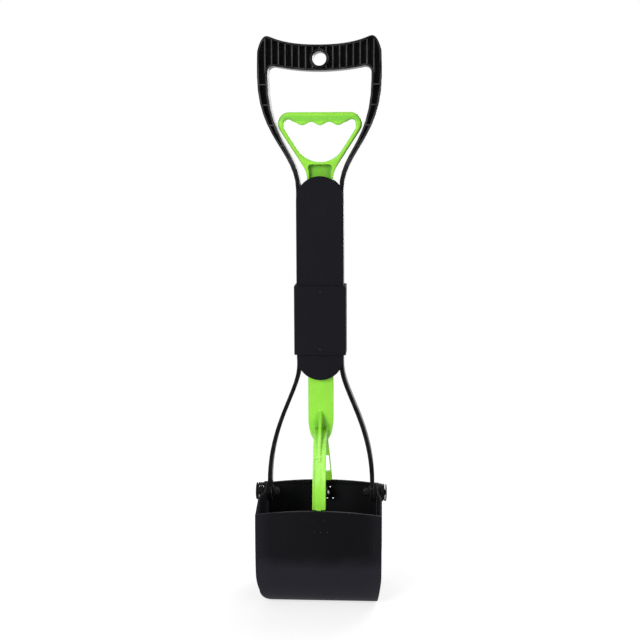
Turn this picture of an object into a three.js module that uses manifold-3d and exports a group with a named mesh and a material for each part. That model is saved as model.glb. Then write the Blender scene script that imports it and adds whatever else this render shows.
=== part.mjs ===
// Pooper scooper: a D handle frame, a pull rod that slides in it, and two spring-closed jaws.
// Millimetres. X is the width, Y the depth (front is -Y), Z is up, and Z = 0 is the ground.

import * as THREE from 'three';
import { mergeVertices } from 'three/addons/utils/BufferGeometryUtils.js';
import Module from 'manifold-3d';

const wasm = await Module();
wasm.setup();

// Driving dimensions

// Whole object
const overallHeight = 590;
const hingeHeight = 112;
const touchGap = 0.3;
const overrun = 2;
const mergeTolerance = 0.0005;

// D handle; a drop is measured down from the overall height
const gripSpan = 106.6;
const saddleDrop = 8.8;
const saddleReach = 40;
const hornRun = 5;
const cornerDrop = 15;
const cornerHalfWidth = 62.9;
const hornCornerShare = 0.6;
const cornerShoulderShare = 0.5;
const shoulderHalfWidth = 63.4;
const shoulderDrop = 40;
const gripThickness = 25.7;
const gripUndersideRise = 4.6;
const gripHalfOpening = 46;
const openingFillet = 6.7;
const openingHalfWidth = 52.8;
const shoulderHandle = 62;
const waistHandle = 39;
const waistDrop = 155;
const openingSideDrop = 42;
const innerShoulderHandle = 66;
const innerWaistHandle = 40;
const handleDepth = 22;
const frameDepth = 18;
const depthBlendLowDrop = 130;
const depthBlendHighDrop = 55;
const rimThickness = 2;
const webThickness = 2.6;
const pocketFloorDrop = 122;
const gripRibPitch = 6.9;
const gripRibThickness = 1.2;
const gripRibSetback = 0.8;
const gripRibCount = 17;
const railRibPitch = 20.4;
const railRibDrop = 48.2;
const railRibCount = 4;
const hangHoleRadius = 7.1;
const hangHoleDrop = 22.6;
const hangBossWall = 2.6;

// Frame behind the covers
const frameHalfWidth = 24.5;
const railWidth = 4.6;
const spliceShare = 0.303;
const footTopInset = 22.4;
const footBottomInset = 21.6;
const footTaper = 9;

// Lower rails; a rise is measured up from the hinge's axis
const railBottomHandle = 67;
const railTopHandle = 30;
const railCurveTopRise = 141;
const railCurveBottomRise = 10;
const railDepth = 14;
const railDepthBlend = 27;
const eyeRadius = 9.6;
const eyeInner = 52.5;

// Covers and bands
const coverThickness = 3;
const coverEdgeRound = 0.9;
const coverTopDrop = 140.6;
const coverBottomRise = 124.4;
const bandHeight = 72.4;
const bandLowering = 1;
const bandWall = 2.3;
const bandCornerRound = 2;
const bandScrewInset = 5.95;
const bandScrewRadius = 1.25;
const bandScrewHeadRadius = 2.4;
const bandScrewHeadHeight = 1.3;
const bandScrewSink = 0.4;
const slotReachShare = 0.6;
const slotWidthShare = 0.13;
const slotDepthShare = 0.25;
const coverBossRadius = 4;
const pegRadius = 1.5;
const pegReach = 6;
const pegInset = 5.3;
const upperPegShares = [0.9, 0.27];
const lowerPegShares = [0.26, 0.86];

// Pull rod
const pullTravel = 30;
const barHalfWidth = 13.3;
const barDepth = 9.2;
const barSkin = 2.4;
const barWall = 2.2;
const barTaperTopRise = 82;
const barBottomRise = 58;
const barEndHalfWidth = 7.4;
const barKneeHalfWidth = 10.9;
const barKneeRise = 64.5;
const barKneeHandle = 8;
const slideGap = 0.8;
const ringTopDrop = 75.6;
const ringTopHalfWidth = 32.6;
const ringCornerHandle = 6.3;
const ringSideHalfWidth = 41.2;
const ringSideDrop = 94;
const ringSideLean = 0.664;
const ringCornerRise = 9;
const ringNeckHalfWidth = 23;
const ringNeckDrop = 122;
const neckHandle = 12;
const neckEndDrop = 148;
const ringHoleBottomDrop = 126.4;
const ringHoleRadius = 27;
const ringHoleTopHalfWidth = 36.7;
const ringHoleCorner = 5;
const ringDepth = 14;
const ringEdgeRound = 2.6;
const ringHoleRound = 1.4;
const bumpCount = 3;
const bumpPitch = 18.5;
const bumpDepth = 1.8;
const bumpLineDrop = 87.2;
const ringBlendLowDrop = 138;
const ringBlendHighDrop = 120;
const neckPocketDrop = 129;
const neckPocketHalfWidth = 12.1;
const neckPocketDepth = 5.4;
const neckPocketRound = 3;
const lapTopRise = 29;
const lapBottomDrop = 11;
const rodScrewSpacing = 20;
const rodScrewRadius = 1.5;
const rodScrewHeadRadius = 2.9;
const rodScrewHeadHeight = 1.8;
const rodScrewSink = 0.2;

// Legs of the pull rod
const linkArm = 44;
const legRootRise = 68;
const legRootHandle = 24;
const legElbowHandle = 26;
const legElbowRise = 46;
const legLean = 0.16;
const legRootThickness = 9;
const legFootThickness = 6.4;
const legRimWidth = 1.7;
const legRimHeight = 1;
const frontLegElbowHalfWidth = 6.7;
const frontLegFootHalfWidth = 7;
const frontLegShoulderRise = 8.2;
const rearLegElbowHalfWidth = 6.2;
const rearLegFootHalfWidth = 9.8;
const rearLegShoulderRise = 16.5;
const legFootRound = 2;
const tongueThickness = 4.4;
const tongueRadius = 4.2;
const finThickness = 3;
const finTopRise = 90;
const finEndShare = 0.6;
const finCurveShare = 0.4;
const windowTopRise = 31.5;
const windowBottomRise = 12;
const windowRim = 1;
const lapPlateTopRise = 110;
const lapPlateThickness = 3.4;
const lapPlateHalfWidth = 9;
const legScrewTopRise = 104;
const legScrewSpacing = 16;
const legScrewSkin = 1.4;

// Link pins
const linkPinRadius = 2;
const linkPinPlay = 0.5;
const linkPinHeadRadius = 3.2;
const linkPinHeadThickness = 1.3;
const linkPinEnd = 0.8;
const clipThickness = 0.9;
const earGap = 0.4;
const earThickness = 1.8;
const earWall = 2.6;
const earRootRise = 6;
const earRootDrop = 9;

// Jaws
const jawWall = 2;
const cheekWall = 1.8;
const jawHalfDepth = 59.5;
const jawHalfWidth = 65.3;
const jawWaistHalfWidth = 61.3;
const jawRimHalfWidth = 64.6;
const waistReach = 14;
const flareReach = 32;
const sideBulgeTop = 74;
const sideBulgeBottom = 40;
const outerFootHalfWidth = 61.2;
const innerFootHalfWidth = 62.5;
const sideCurveShare = 0.5;
const outerCornerRadius = 4.5;
const innerCornerRadius = 19;
const soleHalfDepth = 22;
const soleCurveHeight = 62;
const rimDrop = 3.5;
const rimArch = 4.4;
const rimThickening = 1;
const rimBandHeight = 4;
const cheekRimDrop = 8;
const hingeEarRadius = 10.5;
const cheekOverlap = 3;
const lipHeight = 20;
const toothDepth = 2.2;
const toothPitch = 15.4;
const lipGap = 0.5;
const ventRadius = 0.9;
const lowerVentPlaces = [3.3, 9.9];
const upperVentPlace = 6.8;
const lowerVentDrop = 25;
const upperVentDrop = 12;

// Hinge hardware
const boltRadius = 2.5;
const boltEnd = 45.2;
const boltHeadRadius = 9.2;
const boltFlange = 0.8;
const boltDome = 1;
const sleeveRadius = 4;
const boltFit = 0.3;
const washerRadius = 6;
const washerThickness = 0.9;
const nutThickness = 4.4;
const nutHalfFlats = 4;
const wireRadius = 0.75;
const springRadius = 8.6;
const springPitch = 1.95;
const springTurns = 2.75;
const springLegLength = 17;
const springCurlSteps = 8;
const springSides = 5;
const postRadius = 1.8;
const postDrop = 14.5;
const postRise = 1;

// Looks
const blackPlastic = { color: 0x1d1d20, roughness: 0.42, metalness: 0 };
const greenPlastic = { color: 0x8ee23f, roughness: 0.38, metalness: 0 };
const darkSteel = { color: 0x3a3a3d, roughness: 0.35, metalness: 0.9 };
const brightSteel = { color: 0xb8b8b8, roughness: 0.3, metalness: 1 };

// Heights that follow from the overall height
const shoulderHeight = overallHeight - shoulderDrop;
const waistHeight = overallHeight - waistDrop;
const openingSideHeight = overallHeight - openingSideDrop;
const depthBlendLow = overallHeight - depthBlendLowDrop;
const depthBlendHigh = overallHeight - depthBlendHighDrop;
const pocketFloorHeight = overallHeight - pocketFloorDrop;
const railRibTop = overallHeight - railRibDrop;
const hangHoleHeight = overallHeight - hangHoleDrop;
const coverTop = overallHeight - coverTopDrop;
const ringTop = overallHeight - ringTopDrop;
const ringSideHeight = overallHeight - ringSideDrop;
const ringNeckHeight = overallHeight - ringNeckDrop;
const neckEnd = overallHeight - neckEndDrop;
const ringHoleBottom = overallHeight - ringHoleBottomDrop;
const bumpLineHeight = overallHeight - bumpLineDrop;
const ringBlendLow = overallHeight - ringBlendLowDrop;
const ringBlendHigh = overallHeight - ringBlendHighDrop;
const neckPocketTop = overallHeight - neckPocketDrop;

// Heights that follow from the hinge's height
const linkDrop = pullTravel / 2;
const linkPinHeight = hingeHeight - linkDrop;
const railCurveTop = hingeHeight + railCurveTopRise;
const railCurveBottom = hingeHeight + railCurveBottomRise;
const coverBottom = hingeHeight + coverBottomRise;
const barTaperTop = hingeHeight + barTaperTopRise;
const barBottom = hingeHeight + barBottomRise;
const barKneeHeight = hingeHeight + barKneeRise;
const legRootHeight = hingeHeight + legRootRise;
const legElbowHeight = hingeHeight + legElbowRise;
const finTop = hingeHeight + finTopRise;
const windowTop = hingeHeight + windowTopRise;
const windowBottom = hingeHeight + windowBottomRise;
const lapPlateTop = hingeHeight + lapPlateTopRise;
const legScrewTop = hingeHeight + legScrewTopRise;
const rimHeight = hingeHeight - rimDrop;
const cheekRimHeight = hingeHeight - cheekRimDrop;

// Heights of the splice, which lies between the covers' ends
const spliceHeight = mix(coverBottom, coverTop, spliceShare);
const footTop = coverTop - footTopInset;
const footBottom = coverBottom + footBottomInset;
const bandMiddle = spliceHeight - bandLowering;
const lapTop = spliceHeight + lapTopRise;
const lapBottom = spliceHeight - lapBottomDrop;
const upperPegHeights = upperPegShares.map((share) => mix(spliceHeight, footTop, share));
const lowerPegHeights = lowerPegShares.map((share) => mix(spliceHeight, footBottom, share));

// Other sizes that follow from the driving dimensions
const frameFace = frameDepth / 2;
const coverInside = frameFace + touchGap;
const coverFace = coverInside + coverThickness;
const bandInside = coverFace + touchGap;
const bandFace = bandInside + bandWall;
const footInside = barHalfWidth + slideGap;
const eyeOuter = eyeInner + railWidth;
const innerEarFace = eyeOuter + touchGap;
const cheekStep = cheekWall + touchGap;
const earInnerFace = tongueThickness / 2 + earGap;
const earOuterFace = earInnerFace + earThickness;
const springStart = jawWaistHalfWidth + touchGap + wireRadius;
const springEnd = springStart + springPitch * springTurns;
const boltHeadInside = springEnd + wireRadius + touchGap;

// Helpers

// Turns a closed three.js geometry into a manifold solid.
function solidOf(geometry) {
  const bare = geometry.clone();
  bare.deleteAttribute('normal');
  bare.deleteAttribute('uv');
  const merged = mergeVertices(bare, mergeTolerance);
  const vertProperties = new Float32Array(merged.attributes.position.array);
  const triVerts = new Uint32Array(merged.index.array);
  return new wasm.Manifold(new wasm.Mesh({ numProp: 3, vertProperties, triVerts }));
}

// Turns a manifold solid back into a three.js geometry.
function geometryOf(solid) {
  const mesh = solid.getMesh();
  const geometry = new THREE.BufferGeometry();
  const positions = new Float32Array(mesh.vertProperties);
  geometry.setAttribute('position', new THREE.BufferAttribute(positions, 3));
  geometry.setIndex(new THREE.BufferAttribute(new Uint32Array(mesh.triVerts), 1));
  geometry.computeVertexNormals();
  return geometry;
}

function joined(solids) {
  return solids.reduce((whole, next) => whole.add(next));
}

function cutBy(body, tools) {
  return tools.reduce((rest, tool) => rest.subtract(tool), body);
}

// Extrudes an outline drawn in X and Z from the depth nearY back to farY.
function fromFront(shape, nearY, farY, edgeRound = 0, curveSegments = 12) {
  const geometry = new THREE.ExtrudeGeometry(shape, {
    depth: farY - nearY - 2 * edgeRound,
    bevelEnabled: edgeRound > 0,
    bevelThickness: edgeRound,
    bevelSize: edgeRound,
    bevelOffset: -edgeRound,
    bevelSegments: 2,
    curveSegments,
    steps: 1,
  });
  geometry.rotateX(Math.PI / 2);
  geometry.translate(0, farY - edgeRound, 0);
  return solidOf(geometry);
}

// A cutter from front to back whose outline widens where it leaves both faces.
function flaredHole(shape, nearY, farY, flare) {
  const mouth = (faceY) => {
    const geometry = new THREE.ExtrudeGeometry(shape, {
      depth: 2 * overrun, bevelThickness: flare, bevelSize: flare, bevelSegments: 1,
    });
    geometry.rotateX(Math.PI / 2);
    geometry.translate(0, faceY, 0);
    return solidOf(geometry);
  };
  const through = fromFront(shape, nearY - overrun, farY + overrun);
  return joined([through, mouth(nearY), mouth(farY + 2 * overrun)]);
}

// Extrudes an outline drawn in Y and Z from lowX to highX.
function fromSide(shape, lowX, highX, curveSegments = 12) {
  const depth = highX - lowX;
  const geometry = new THREE.ExtrudeGeometry(shape, { depth, bevelEnabled: false, curveSegments });
  const alongX = new THREE.Matrix4().makeBasis(
    new THREE.Vector3(0, 1, 0),
    new THREE.Vector3(0, 0, 1),
    new THREE.Vector3(1, 0, 0),
  );
  geometry.applyMatrix4(alongX);
  geometry.translate(lowX, 0, 0);
  return solidOf(geometry);
}

// Extrudes an outline drawn in X and Y from lowZ to highZ.
function fromAbove(shape, lowZ, highZ, curveSegments = 12) {
  const depth = highZ - lowZ;
  const geometry = new THREE.ExtrudeGeometry(shape, { depth, bevelEnabled: false, curveSegments });
  geometry.translate(0, 0, lowZ);
  return solidOf(geometry);
}

function box(lowX, highX, lowY, highY, lowZ, highZ) {
  const geometry = new THREE.BoxGeometry(highX - lowX, highY - lowY, highZ - lowZ);
  geometry.translate((lowX + highX) / 2, (lowY + highY) / 2, (lowZ + highZ) / 2);
  return solidOf(geometry);
}

function rodAlongX(radius, lowX, highX, y, z, sides = 24) {
  const geometry = new THREE.CylinderGeometry(radius, radius, highX - lowX, sides);
  geometry.rotateZ(Math.PI / 2);
  geometry.translate((lowX + highX) / 2, y, z);
  return solidOf(geometry);
}

function rodAlongY(radius, lowY, highY, x, z, sides = 20) {
  const geometry = new THREE.CylinderGeometry(radius, radius, highY - lowY, sides);
  geometry.translate(x, (lowY + highY) / 2, z);
  return solidOf(geometry);
}

// Leaves out each point that falls on the one before it.
function withoutDoubles(points) {
  return points.filter((point, index) => {
    return index === 0 || point.distanceTo(points[index - 1]) > mergeTolerance;
  });
}

function sampled(path, divisions) {
  return withoutDoubles(path.getPoints(divisions));
}

// Closes a half outline, drawn on the +X side, with its mirror image.
function mirroredOutline(half) {
  const other = half.map((point) => new THREE.Vector2(-point.x, point.y)).reverse();
  return withoutDoubles([...half, ...other]);
}

// Moves each point of an open line sideways, to its left for a positive distance.
function offsetLine(points, distanceAt) {
  return points.map((point, index) => {
    const before = points[Math.max(index - 1, 0)];
    const after = points[Math.min(index + 1, points.length - 1)];
    const along = after.clone().sub(before).normalize();
    const distance = distanceAt(index / (points.length - 1));
    return new THREE.Vector2(point.x - along.y * distance, point.y + along.x * distance);
  });
}

function mix(a, b, share) {
  return a + (b - a) * share;
}

// Runs smoothly from 0 to 1 while the value goes from low to high.
function smoothStep(value, low, high) {
  const share = Math.min(Math.max((value - low) / (high - low), 0), 1);
  return (1 - Math.cos(Math.PI * share)) / 2;
}

const pieces = new THREE.Group();

function addPiece(name, solid, look, halfTurn = false) {
  const mesh = new THREE.Mesh(geometryOf(solid), new THREE.MeshStandardMaterial(look));
  mesh.name = name;
  mesh.rotation.z = halfTurn ? Math.PI : 0;
  pieces.add(mesh);
}

// Handle frame

// A side profile whose half depth changes smoothly between two heights.
function depthEnvelope(lowZ, highZ, lowHalf, highHalf, blendLow, blendHigh) {
  const stepCount = 8;
  const right = [new THREE.Vector2(lowHalf, lowZ)];
  for (let step = 0; step <= stepCount; step += 1) {
    const z = mix(blendLow, blendHigh, step / stepCount);
    right.push(new THREE.Vector2(mix(lowHalf, highHalf, smoothStep(z, blendLow, blendHigh)), z));
  }
  right.push(new THREE.Vector2(highHalf, highZ));
  return new THREE.Shape(mirroredOutline(right));
}

// Outer edge of the D handle, from the middle of its saddle down to the splice.
function handleOuterEdge() {
  const hornX = gripSpan / 2;
  const saddleTop = overallHeight - saddleDrop;
  const path = new THREE.Path();
  path.moveTo(0, saddleTop);
  path.bezierCurveTo(saddleReach, saddleTop, hornX - hornRun, overallHeight, hornX, overallHeight);
  const cornerX = mix(hornX, cornerHalfWidth, hornCornerShare);
  const cornerZ = overallHeight - cornerDrop;
  path.quadraticCurveTo(cornerX, overallHeight, cornerHalfWidth, cornerZ);
  const bendZ = mix(cornerZ, shoulderHeight, cornerShoulderShare);
  path.quadraticCurveTo(shoulderHalfWidth, bendZ, shoulderHalfWidth, shoulderHeight);
  path.bezierCurveTo(
    shoulderHalfWidth, shoulderHeight - shoulderHandle,
    frameHalfWidth, waistHeight + waistHandle,
    frameHalfWidth, waistHeight,
  );
  path.lineTo(frameHalfWidth, spliceHeight);
  return sampled(path, 12);
}

// Edge of the hand opening, from the middle of the grip's underside down to the splice.
function handleInnerEdge() {
  const undersideZ = overallHeight - saddleDrop - gripThickness;
  const filletZ = undersideZ + gripUndersideRise;
  const path = new THREE.Path();
  path.moveTo(0, undersideZ);
  path.quadraticCurveTo(gripHalfOpening / 2, undersideZ, gripHalfOpening, filletZ);
  path.quadraticCurveTo(openingHalfWidth, filletZ, openingHalfWidth, filletZ - openingFillet);
  path.lineTo(openingHalfWidth, openingSideHeight);
  path.bezierCurveTo(
    openingHalfWidth, openingSideHeight - innerShoulderHandle,
    frameHalfWidth - railWidth, waistHeight + innerWaistHandle,
    frameHalfWidth - railWidth, waistHeight,
  );
  path.lineTo(frameHalfWidth - railWidth, spliceHeight);
  return sampled(path, 11);
}

function pegHoles(heights) {
  const holes = [];
  for (const side of [-1, 1]) {
    for (const z of heights) {
      const x = side * (frameHalfWidth - pegInset);
      holes.push(rodAlongY(pegRadius + touchGap, -frameFace - overrun, frameFace + overrun, x, z, 8));
    }
  }
  return holes;
}

function upperFrame() {
  const outer = handleOuterEdge();
  const inner = handleInnerEdge();
  const halfHandle = handleDepth / 2;
  const outside = new THREE.Shape(mirroredOutline(outer));
  const belowInner = new THREE.Vector2(frameHalfWidth - railWidth, spliceHeight - overrun);
  const opening = new THREE.Shape(mirroredOutline([...inner, belowInner]));
  let frame = fromFront(outside, -halfHandle, halfHandle);
  frame = frame.subtract(fromFront(opening, -halfHandle - overrun, halfHandle + overrun));

  const feet = [-1, 1].map((side) => {
    const ends = [side * footInside, side * (frameHalfWidth - railWidth / 2)];
    return box(Math.min(...ends), Math.max(...ends), -frameFace, frameFace, spliceHeight, footTop);
  });
  frame = joined([frame, ...feet]);

  // Pockets from both faces leave a rim, a middle web and cross ribs.
  const pocketOuter = offsetLine(outer, () => -rimThickness);
  const pocketInner = offsetLine(inner, () => rimThickness);
  const pocketOutline = new THREE.Shape(mirroredOutline(pocketOuter));
  const pocketHole = new THREE.Shape(mirroredOutline(pocketInner));
  const faceZone = box(
    -shoulderHalfWidth, shoulderHalfWidth,
    -halfHandle - overrun, -webThickness / 2,
    pocketFloorHeight, overallHeight,
  );
  let pocket = fromFront(pocketOutline, -halfHandle - overrun, -webThickness / 2);
  pocket = pocket.subtract(fromFront(pocketHole, -halfHandle - 2 * overrun, overrun));
  pocket = pocket.intersect(faceZone);
  const ribFront = -halfHandle + gripRibSetback;
  const gripBottom = overallHeight - saddleDrop - gripThickness - rimThickness;
  const ribs = [];
  for (let index = 0; index < gripRibCount; index += 1) {
    const x = (index - (gripRibCount - 1) / 2) * gripRibPitch;
    const half = gripRibThickness / 2;
    ribs.push(box(x - half, x + half, ribFront, 0, gripBottom, overallHeight));
  }
  for (let index = 0; index < railRibCount; index += 1) {
    const z = railRibTop - index * railRibPitch;
    const half = gripRibThickness / 2;
    ribs.push(box(-shoulderHalfWidth, shoulderHalfWidth, ribFront, 0, z - half, z + half));
  }
  ribs.push(rodAlongY(hangHoleRadius + hangBossWall, -halfHandle - overrun, 0, 0, hangHoleHeight, 24));
  pocket = cutBy(pocket, ribs);
  frame = frame.subtract(pocket).subtract(pocket.mirror([0, 1, 0]));

  const holeEnd = halfHandle + overrun;
  const hangHole = rodAlongY(hangHoleRadius, -holeEnd, holeEnd, 0, hangHoleHeight, 24);
  frame = cutBy(frame, [hangHole, ...pegHoles(upperPegHeights)]);
  const envelope = depthEnvelope(
    spliceHeight - overrun, overallHeight + overrun,
    frameFace, halfHandle,
    depthBlendLow, depthBlendHigh,
  );
  return frame.intersect(fromSide(envelope, -shoulderHalfWidth - overrun, shoulderHalfWidth + overrun));
}

// The right lower rail; the left one is the same piece turned half round.
function lowerRail() {
  const edge = (inset) => {
    const path = new THREE.Path();
    path.moveTo(frameHalfWidth - inset, spliceHeight - touchGap);
    path.lineTo(frameHalfWidth - inset, railCurveTop);
    path.bezierCurveTo(
      frameHalfWidth - inset, railCurveTop - railTopHandle,
      eyeOuter - inset, railCurveBottom + railBottomHandle,
      eyeOuter - inset, railCurveBottom,
    );
    path.lineTo(eyeOuter - inset, hingeHeight);
    return sampled(path, 20);
  };
  const outline = new THREE.Shape([...edge(0), ...edge(railWidth).reverse()]);
  let rail = fromFront(outline, -frameFace, frameFace);
  const foot = new THREE.Shape();
  foot.moveTo(footInside, spliceHeight - touchGap);
  foot.lineTo(footInside, footBottom);
  foot.lineTo(frameHalfWidth - railWidth, footBottom - footTaper);
  foot.lineTo(frameHalfWidth - railWidth / 2, footBottom - footTaper);
  foot.lineTo(frameHalfWidth - railWidth / 2, spliceHeight - touchGap);
  rail = rail.add(fromFront(foot, -frameFace, frameFace));
  const envelope = depthEnvelope(
    hingeHeight - overrun, spliceHeight,
    railDepth / 2, frameFace,
    footBottom - railDepthBlend, footBottom - touchGap,
  );
  rail = rail.intersect(fromSide(envelope, 0, eyeOuter + overrun));
  rail = rail.add(rodAlongX(eyeRadius, eyeInner, eyeOuter, 0, hingeHeight, 32));
  rail = rail.subtract(
    rodAlongX(boltRadius + boltFit, eyeInner - overrun, eyeOuter + overrun, 0, hingeHeight, 20),
  );
  return cutBy(rail, pegHoles(lowerPegHeights));
}

// Covers and bands

const bandScrewReach = bandHeight / 2 - bandScrewInset;
const bandScrewHeights = [bandMiddle + bandScrewReach, bandMiddle - bandScrewReach];

// The front cover; the rear one is the same piece turned half round.
function cover() {
  const shape = new THREE.Shape();
  const upperCentre = coverTop - frameHalfWidth;
  const lowerCentre = coverBottom + frameHalfWidth;
  shape.absarc(0, upperCentre, frameHalfWidth, 0, Math.PI, false);
  shape.absarc(0, lowerCentre, frameHalfWidth, Math.PI, 2 * Math.PI, false);
  let plate = fromFront(shape, -coverFace, -coverInside, coverEdgeRound, 14);
  const middleY = -coverFace + coverThickness / 2;
  const pegs = [];
  for (const side of [-1, 1]) {
    for (const z of [...upperPegHeights, ...lowerPegHeights]) {
      const x = side * (frameHalfWidth - pegInset);
      pegs.push(rodAlongY(pegRadius, middleY, -coverInside + pegReach, x, z, 8));
    }
  }
  const bossEnd = -barDepth / 2 - overrun;
  const bosses = bandScrewHeights.map((z) => {
    return rodAlongY(coverBossRadius, middleY, bossEnd, 0, z, 14);
  });
  plate = joined([plate, ...pegs, ...bosses]);
  const holes = bandScrewHeights.map((z) => {
    return rodAlongY(bandScrewRadius + touchGap, -coverFace - overrun, bossEnd + overrun, 0, z, 8);
  });
  return cutBy(plate, holes);
}

// The front half of the sleeve; the rear one is the same piece turned half round.
function band() {
  const half = frameHalfWidth + touchGap + bandWall;
  const shape = new THREE.Shape();
  shape.moveTo(half, -touchGap / 2);
  shape.lineTo(half, -bandFace + bandCornerRound);
  shape.quadraticCurveTo(half, -bandFace, half - bandCornerRound, -bandFace);
  shape.lineTo(-half + bandCornerRound, -bandFace);
  shape.quadraticCurveTo(-half, -bandFace, -half, -bandFace + bandCornerRound);
  shape.lineTo(-half, -touchGap / 2);
  shape.lineTo(-half + bandWall, -touchGap / 2);
  shape.lineTo(-half + bandWall, -bandInside);
  shape.lineTo(half - bandWall, -bandInside);
  shape.lineTo(half - bandWall, -touchGap / 2);
  const sleeve = fromAbove(shape, bandMiddle - bandHeight / 2, bandMiddle + bandHeight / 2, 5);
  const cuts = bandScrewHeights.flatMap((z) => {
    const recess = bandScrewHeadHeight + bandScrewSink;
    return [
      rodAlongY(bandScrewRadius + touchGap, -bandFace - overrun, -bandInside + overrun, 0, z, 8),
      rodAlongY(bandScrewHeadRadius + touchGap, -bandFace - overrun, -bandFace + recess, 0, z, 14),
    ];
  });
  return cutBy(sleeve, cuts);
}

// A band screw with a flat cross-slotted head, seen from the front.
function bandScrew(z) {
  const headFront = -bandFace + bandScrewSink;
  const headBack = headFront + bandScrewHeadHeight - touchGap;
  const shankEnd = -barDepth / 2 - overrun - touchGap;
  const head = rodAlongY(bandScrewHeadRadius, headFront, headBack, 0, z, 14);
  const shank = rodAlongY(bandScrewRadius, headBack - touchGap, shankEnd, 0, z, 8);
  return crossSlotted(head.add(shank), bandScrewHeadRadius, headFront, z);
}

// Cuts a cross slot into a screw's head, in shares of the head's radius.
function crossSlotted(screw, headRadius, headFront, z) {
  const reach = headRadius * slotReachShare;
  const half = headRadius * slotWidthShare;
  const depth = headRadius * slotDepthShare;
  return cutBy(screw, [
    box(-reach, reach, headFront - overrun, headFront + depth, z - half, z + half),
    box(-half, half, headFront - overrun, headFront + depth, z - reach, z + reach),
  ]);
}

// Pull rod

// Outline of the finger ring and neck on the +X side, from the top middle down to the neck's end.
function ringOuterEdge() {
  const path = new THREE.Path();
  path.moveTo(0, ringTop);
  path.lineTo(ringTopHalfWidth, ringTop);
  path.bezierCurveTo(
    ringTopHalfWidth + ringCornerHandle, ringTop,
    ringSideHalfWidth + ringCornerRise * ringSideLean, ringSideHeight + ringCornerRise,
    ringSideHalfWidth, ringSideHeight,
  );
  path.lineTo(ringNeckHalfWidth, ringNeckHeight);
  path.bezierCurveTo(
    ringNeckHalfWidth - neckHandle * ringSideLean, ringNeckHeight - neckHandle,
    barHalfWidth, neckEnd + neckHandle,
    barHalfWidth, neckEnd,
  );
  return sampled(path, 8);
}

// The finger opening: scalloped bumps above, slanted sides and a round bottom.
function ringHole() {
  const bumpSteps = 20;
  const half = [];
  const bumpEnd = (bumpCount / 2) * bumpPitch;
  for (let step = 0; step <= bumpSteps; step += 1) {
    const x = (bumpEnd * step) / bumpSteps;
    half.push(new THREE.Vector2(x, bumpLineHeight - bumpDepth * Math.cos((2 * Math.PI * x) / bumpPitch)));
  }
  const path = new THREE.Path();
  const valleyZ = bumpLineHeight + bumpDepth;
  const centreZ = ringHoleBottom + ringHoleRadius;
  const topZ = valleyZ + ringHoleCorner / 2;
  path.moveTo(bumpEnd, valleyZ);
  path.quadraticCurveTo(bumpEnd + ringHoleCorner / 2, topZ, bumpEnd + ringHoleCorner, topZ);
  path.quadraticCurveTo(
    ringHoleTopHalfWidth + ringHoleCorner / 4, topZ,
    ringHoleTopHalfWidth, bumpLineHeight - ringHoleCorner,
  );
  const sideAngle = -Math.atan(ringSideLean);
  path.absarc(0, centreZ, ringHoleRadius, sideAngle, -Math.PI / 2, true);
  half.push(...sampled(path, 8).slice(1));
  return mirroredOutline(half);
}

function pullGrip() {
  const halfRing = ringDepth / 2;
  const halfBar = barDepth / 2;
  const outer = ringOuterEdge();
  outer.push(new THREE.Vector2(barHalfWidth, lapBottom));
  let grip = fromFront(new THREE.Shape(mirroredOutline(outer)), -halfRing, halfRing, ringEdgeRound);
  grip = grip.subtract(flaredHole(new THREE.Shape(ringHole()), -halfRing, halfRing, ringHoleRound));
  const envelope = depthEnvelope(
    lapBottom - overrun, ringTop + overrun,
    halfBar, halfRing,
    ringBlendLow, ringBlendHigh,
  );
  const reach = ringSideHalfWidth + 2 * overrun;
  grip = grip.intersect(fromSide(envelope, -reach, reach));

  // The neck's pocket is open to the front and runs down between the bar's side walls.
  const pocket = new THREE.Path();
  pocket.moveTo(0, neckPocketTop);
  pocket.lineTo(neckPocketHalfWidth - neckPocketRound, neckPocketTop);
  pocket.quadraticCurveTo(
    neckPocketHalfWidth, neckPocketTop,
    neckPocketHalfWidth, neckPocketTop - neckPocketRound,
  );
  pocket.lineTo(barHalfWidth - barWall, ringBlendLow);
  pocket.lineTo(barHalfWidth - barWall, lapTop + barWall);
  const pocketShape = new THREE.Shape(mirroredOutline(sampled(pocket, 5)));
  grip = grip.subtract(fromFront(pocketShape, -halfRing - overrun, -halfBar + neckPocketDepth));

  // Below the lap line only the rear half stays.
  const lapReach = barHalfWidth + overrun;
  grip = grip.subtract(box(
    -lapReach, lapReach,
    -halfRing, touchGap / 2,
    lapBottom - overrun, lapTop + touchGap,
  ));
  return cutBy(grip, rodScrewHoles());
}

const lapMiddle = (lapTop + lapBottom) / 2;
const rodScrewHeights = [lapMiddle + rodScrewSpacing / 2, lapMiddle - rodScrewSpacing / 2];

function rodScrewHoles() {
  const face = barDepth / 2;
  const recessEnd = -face + rodScrewHeadHeight + rodScrewSink;
  return rodScrewHeights.flatMap((z) => [
    rodAlongY(rodScrewRadius + touchGap, -face - overrun, face + overrun, 0, z, 8),
    rodAlongY(rodScrewHeadRadius + touchGap, -face - overrun, recessEnd, 0, z, 14),
  ]);
}

function rodScrew(z) {
  const face = barDepth / 2;
  const headFront = -face + rodScrewSink;
  const headBack = headFront + rodScrewHeadHeight - touchGap;
  const head = rodAlongY(rodScrewHeadRadius, headFront, headBack, 0, z, 14);
  const shank = rodAlongY(rodScrewRadius, headBack - touchGap, face - touchGap, 0, z, 8);
  return crossSlotted(head.add(shank), rodScrewHeadRadius, headFront, z);
}

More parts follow.
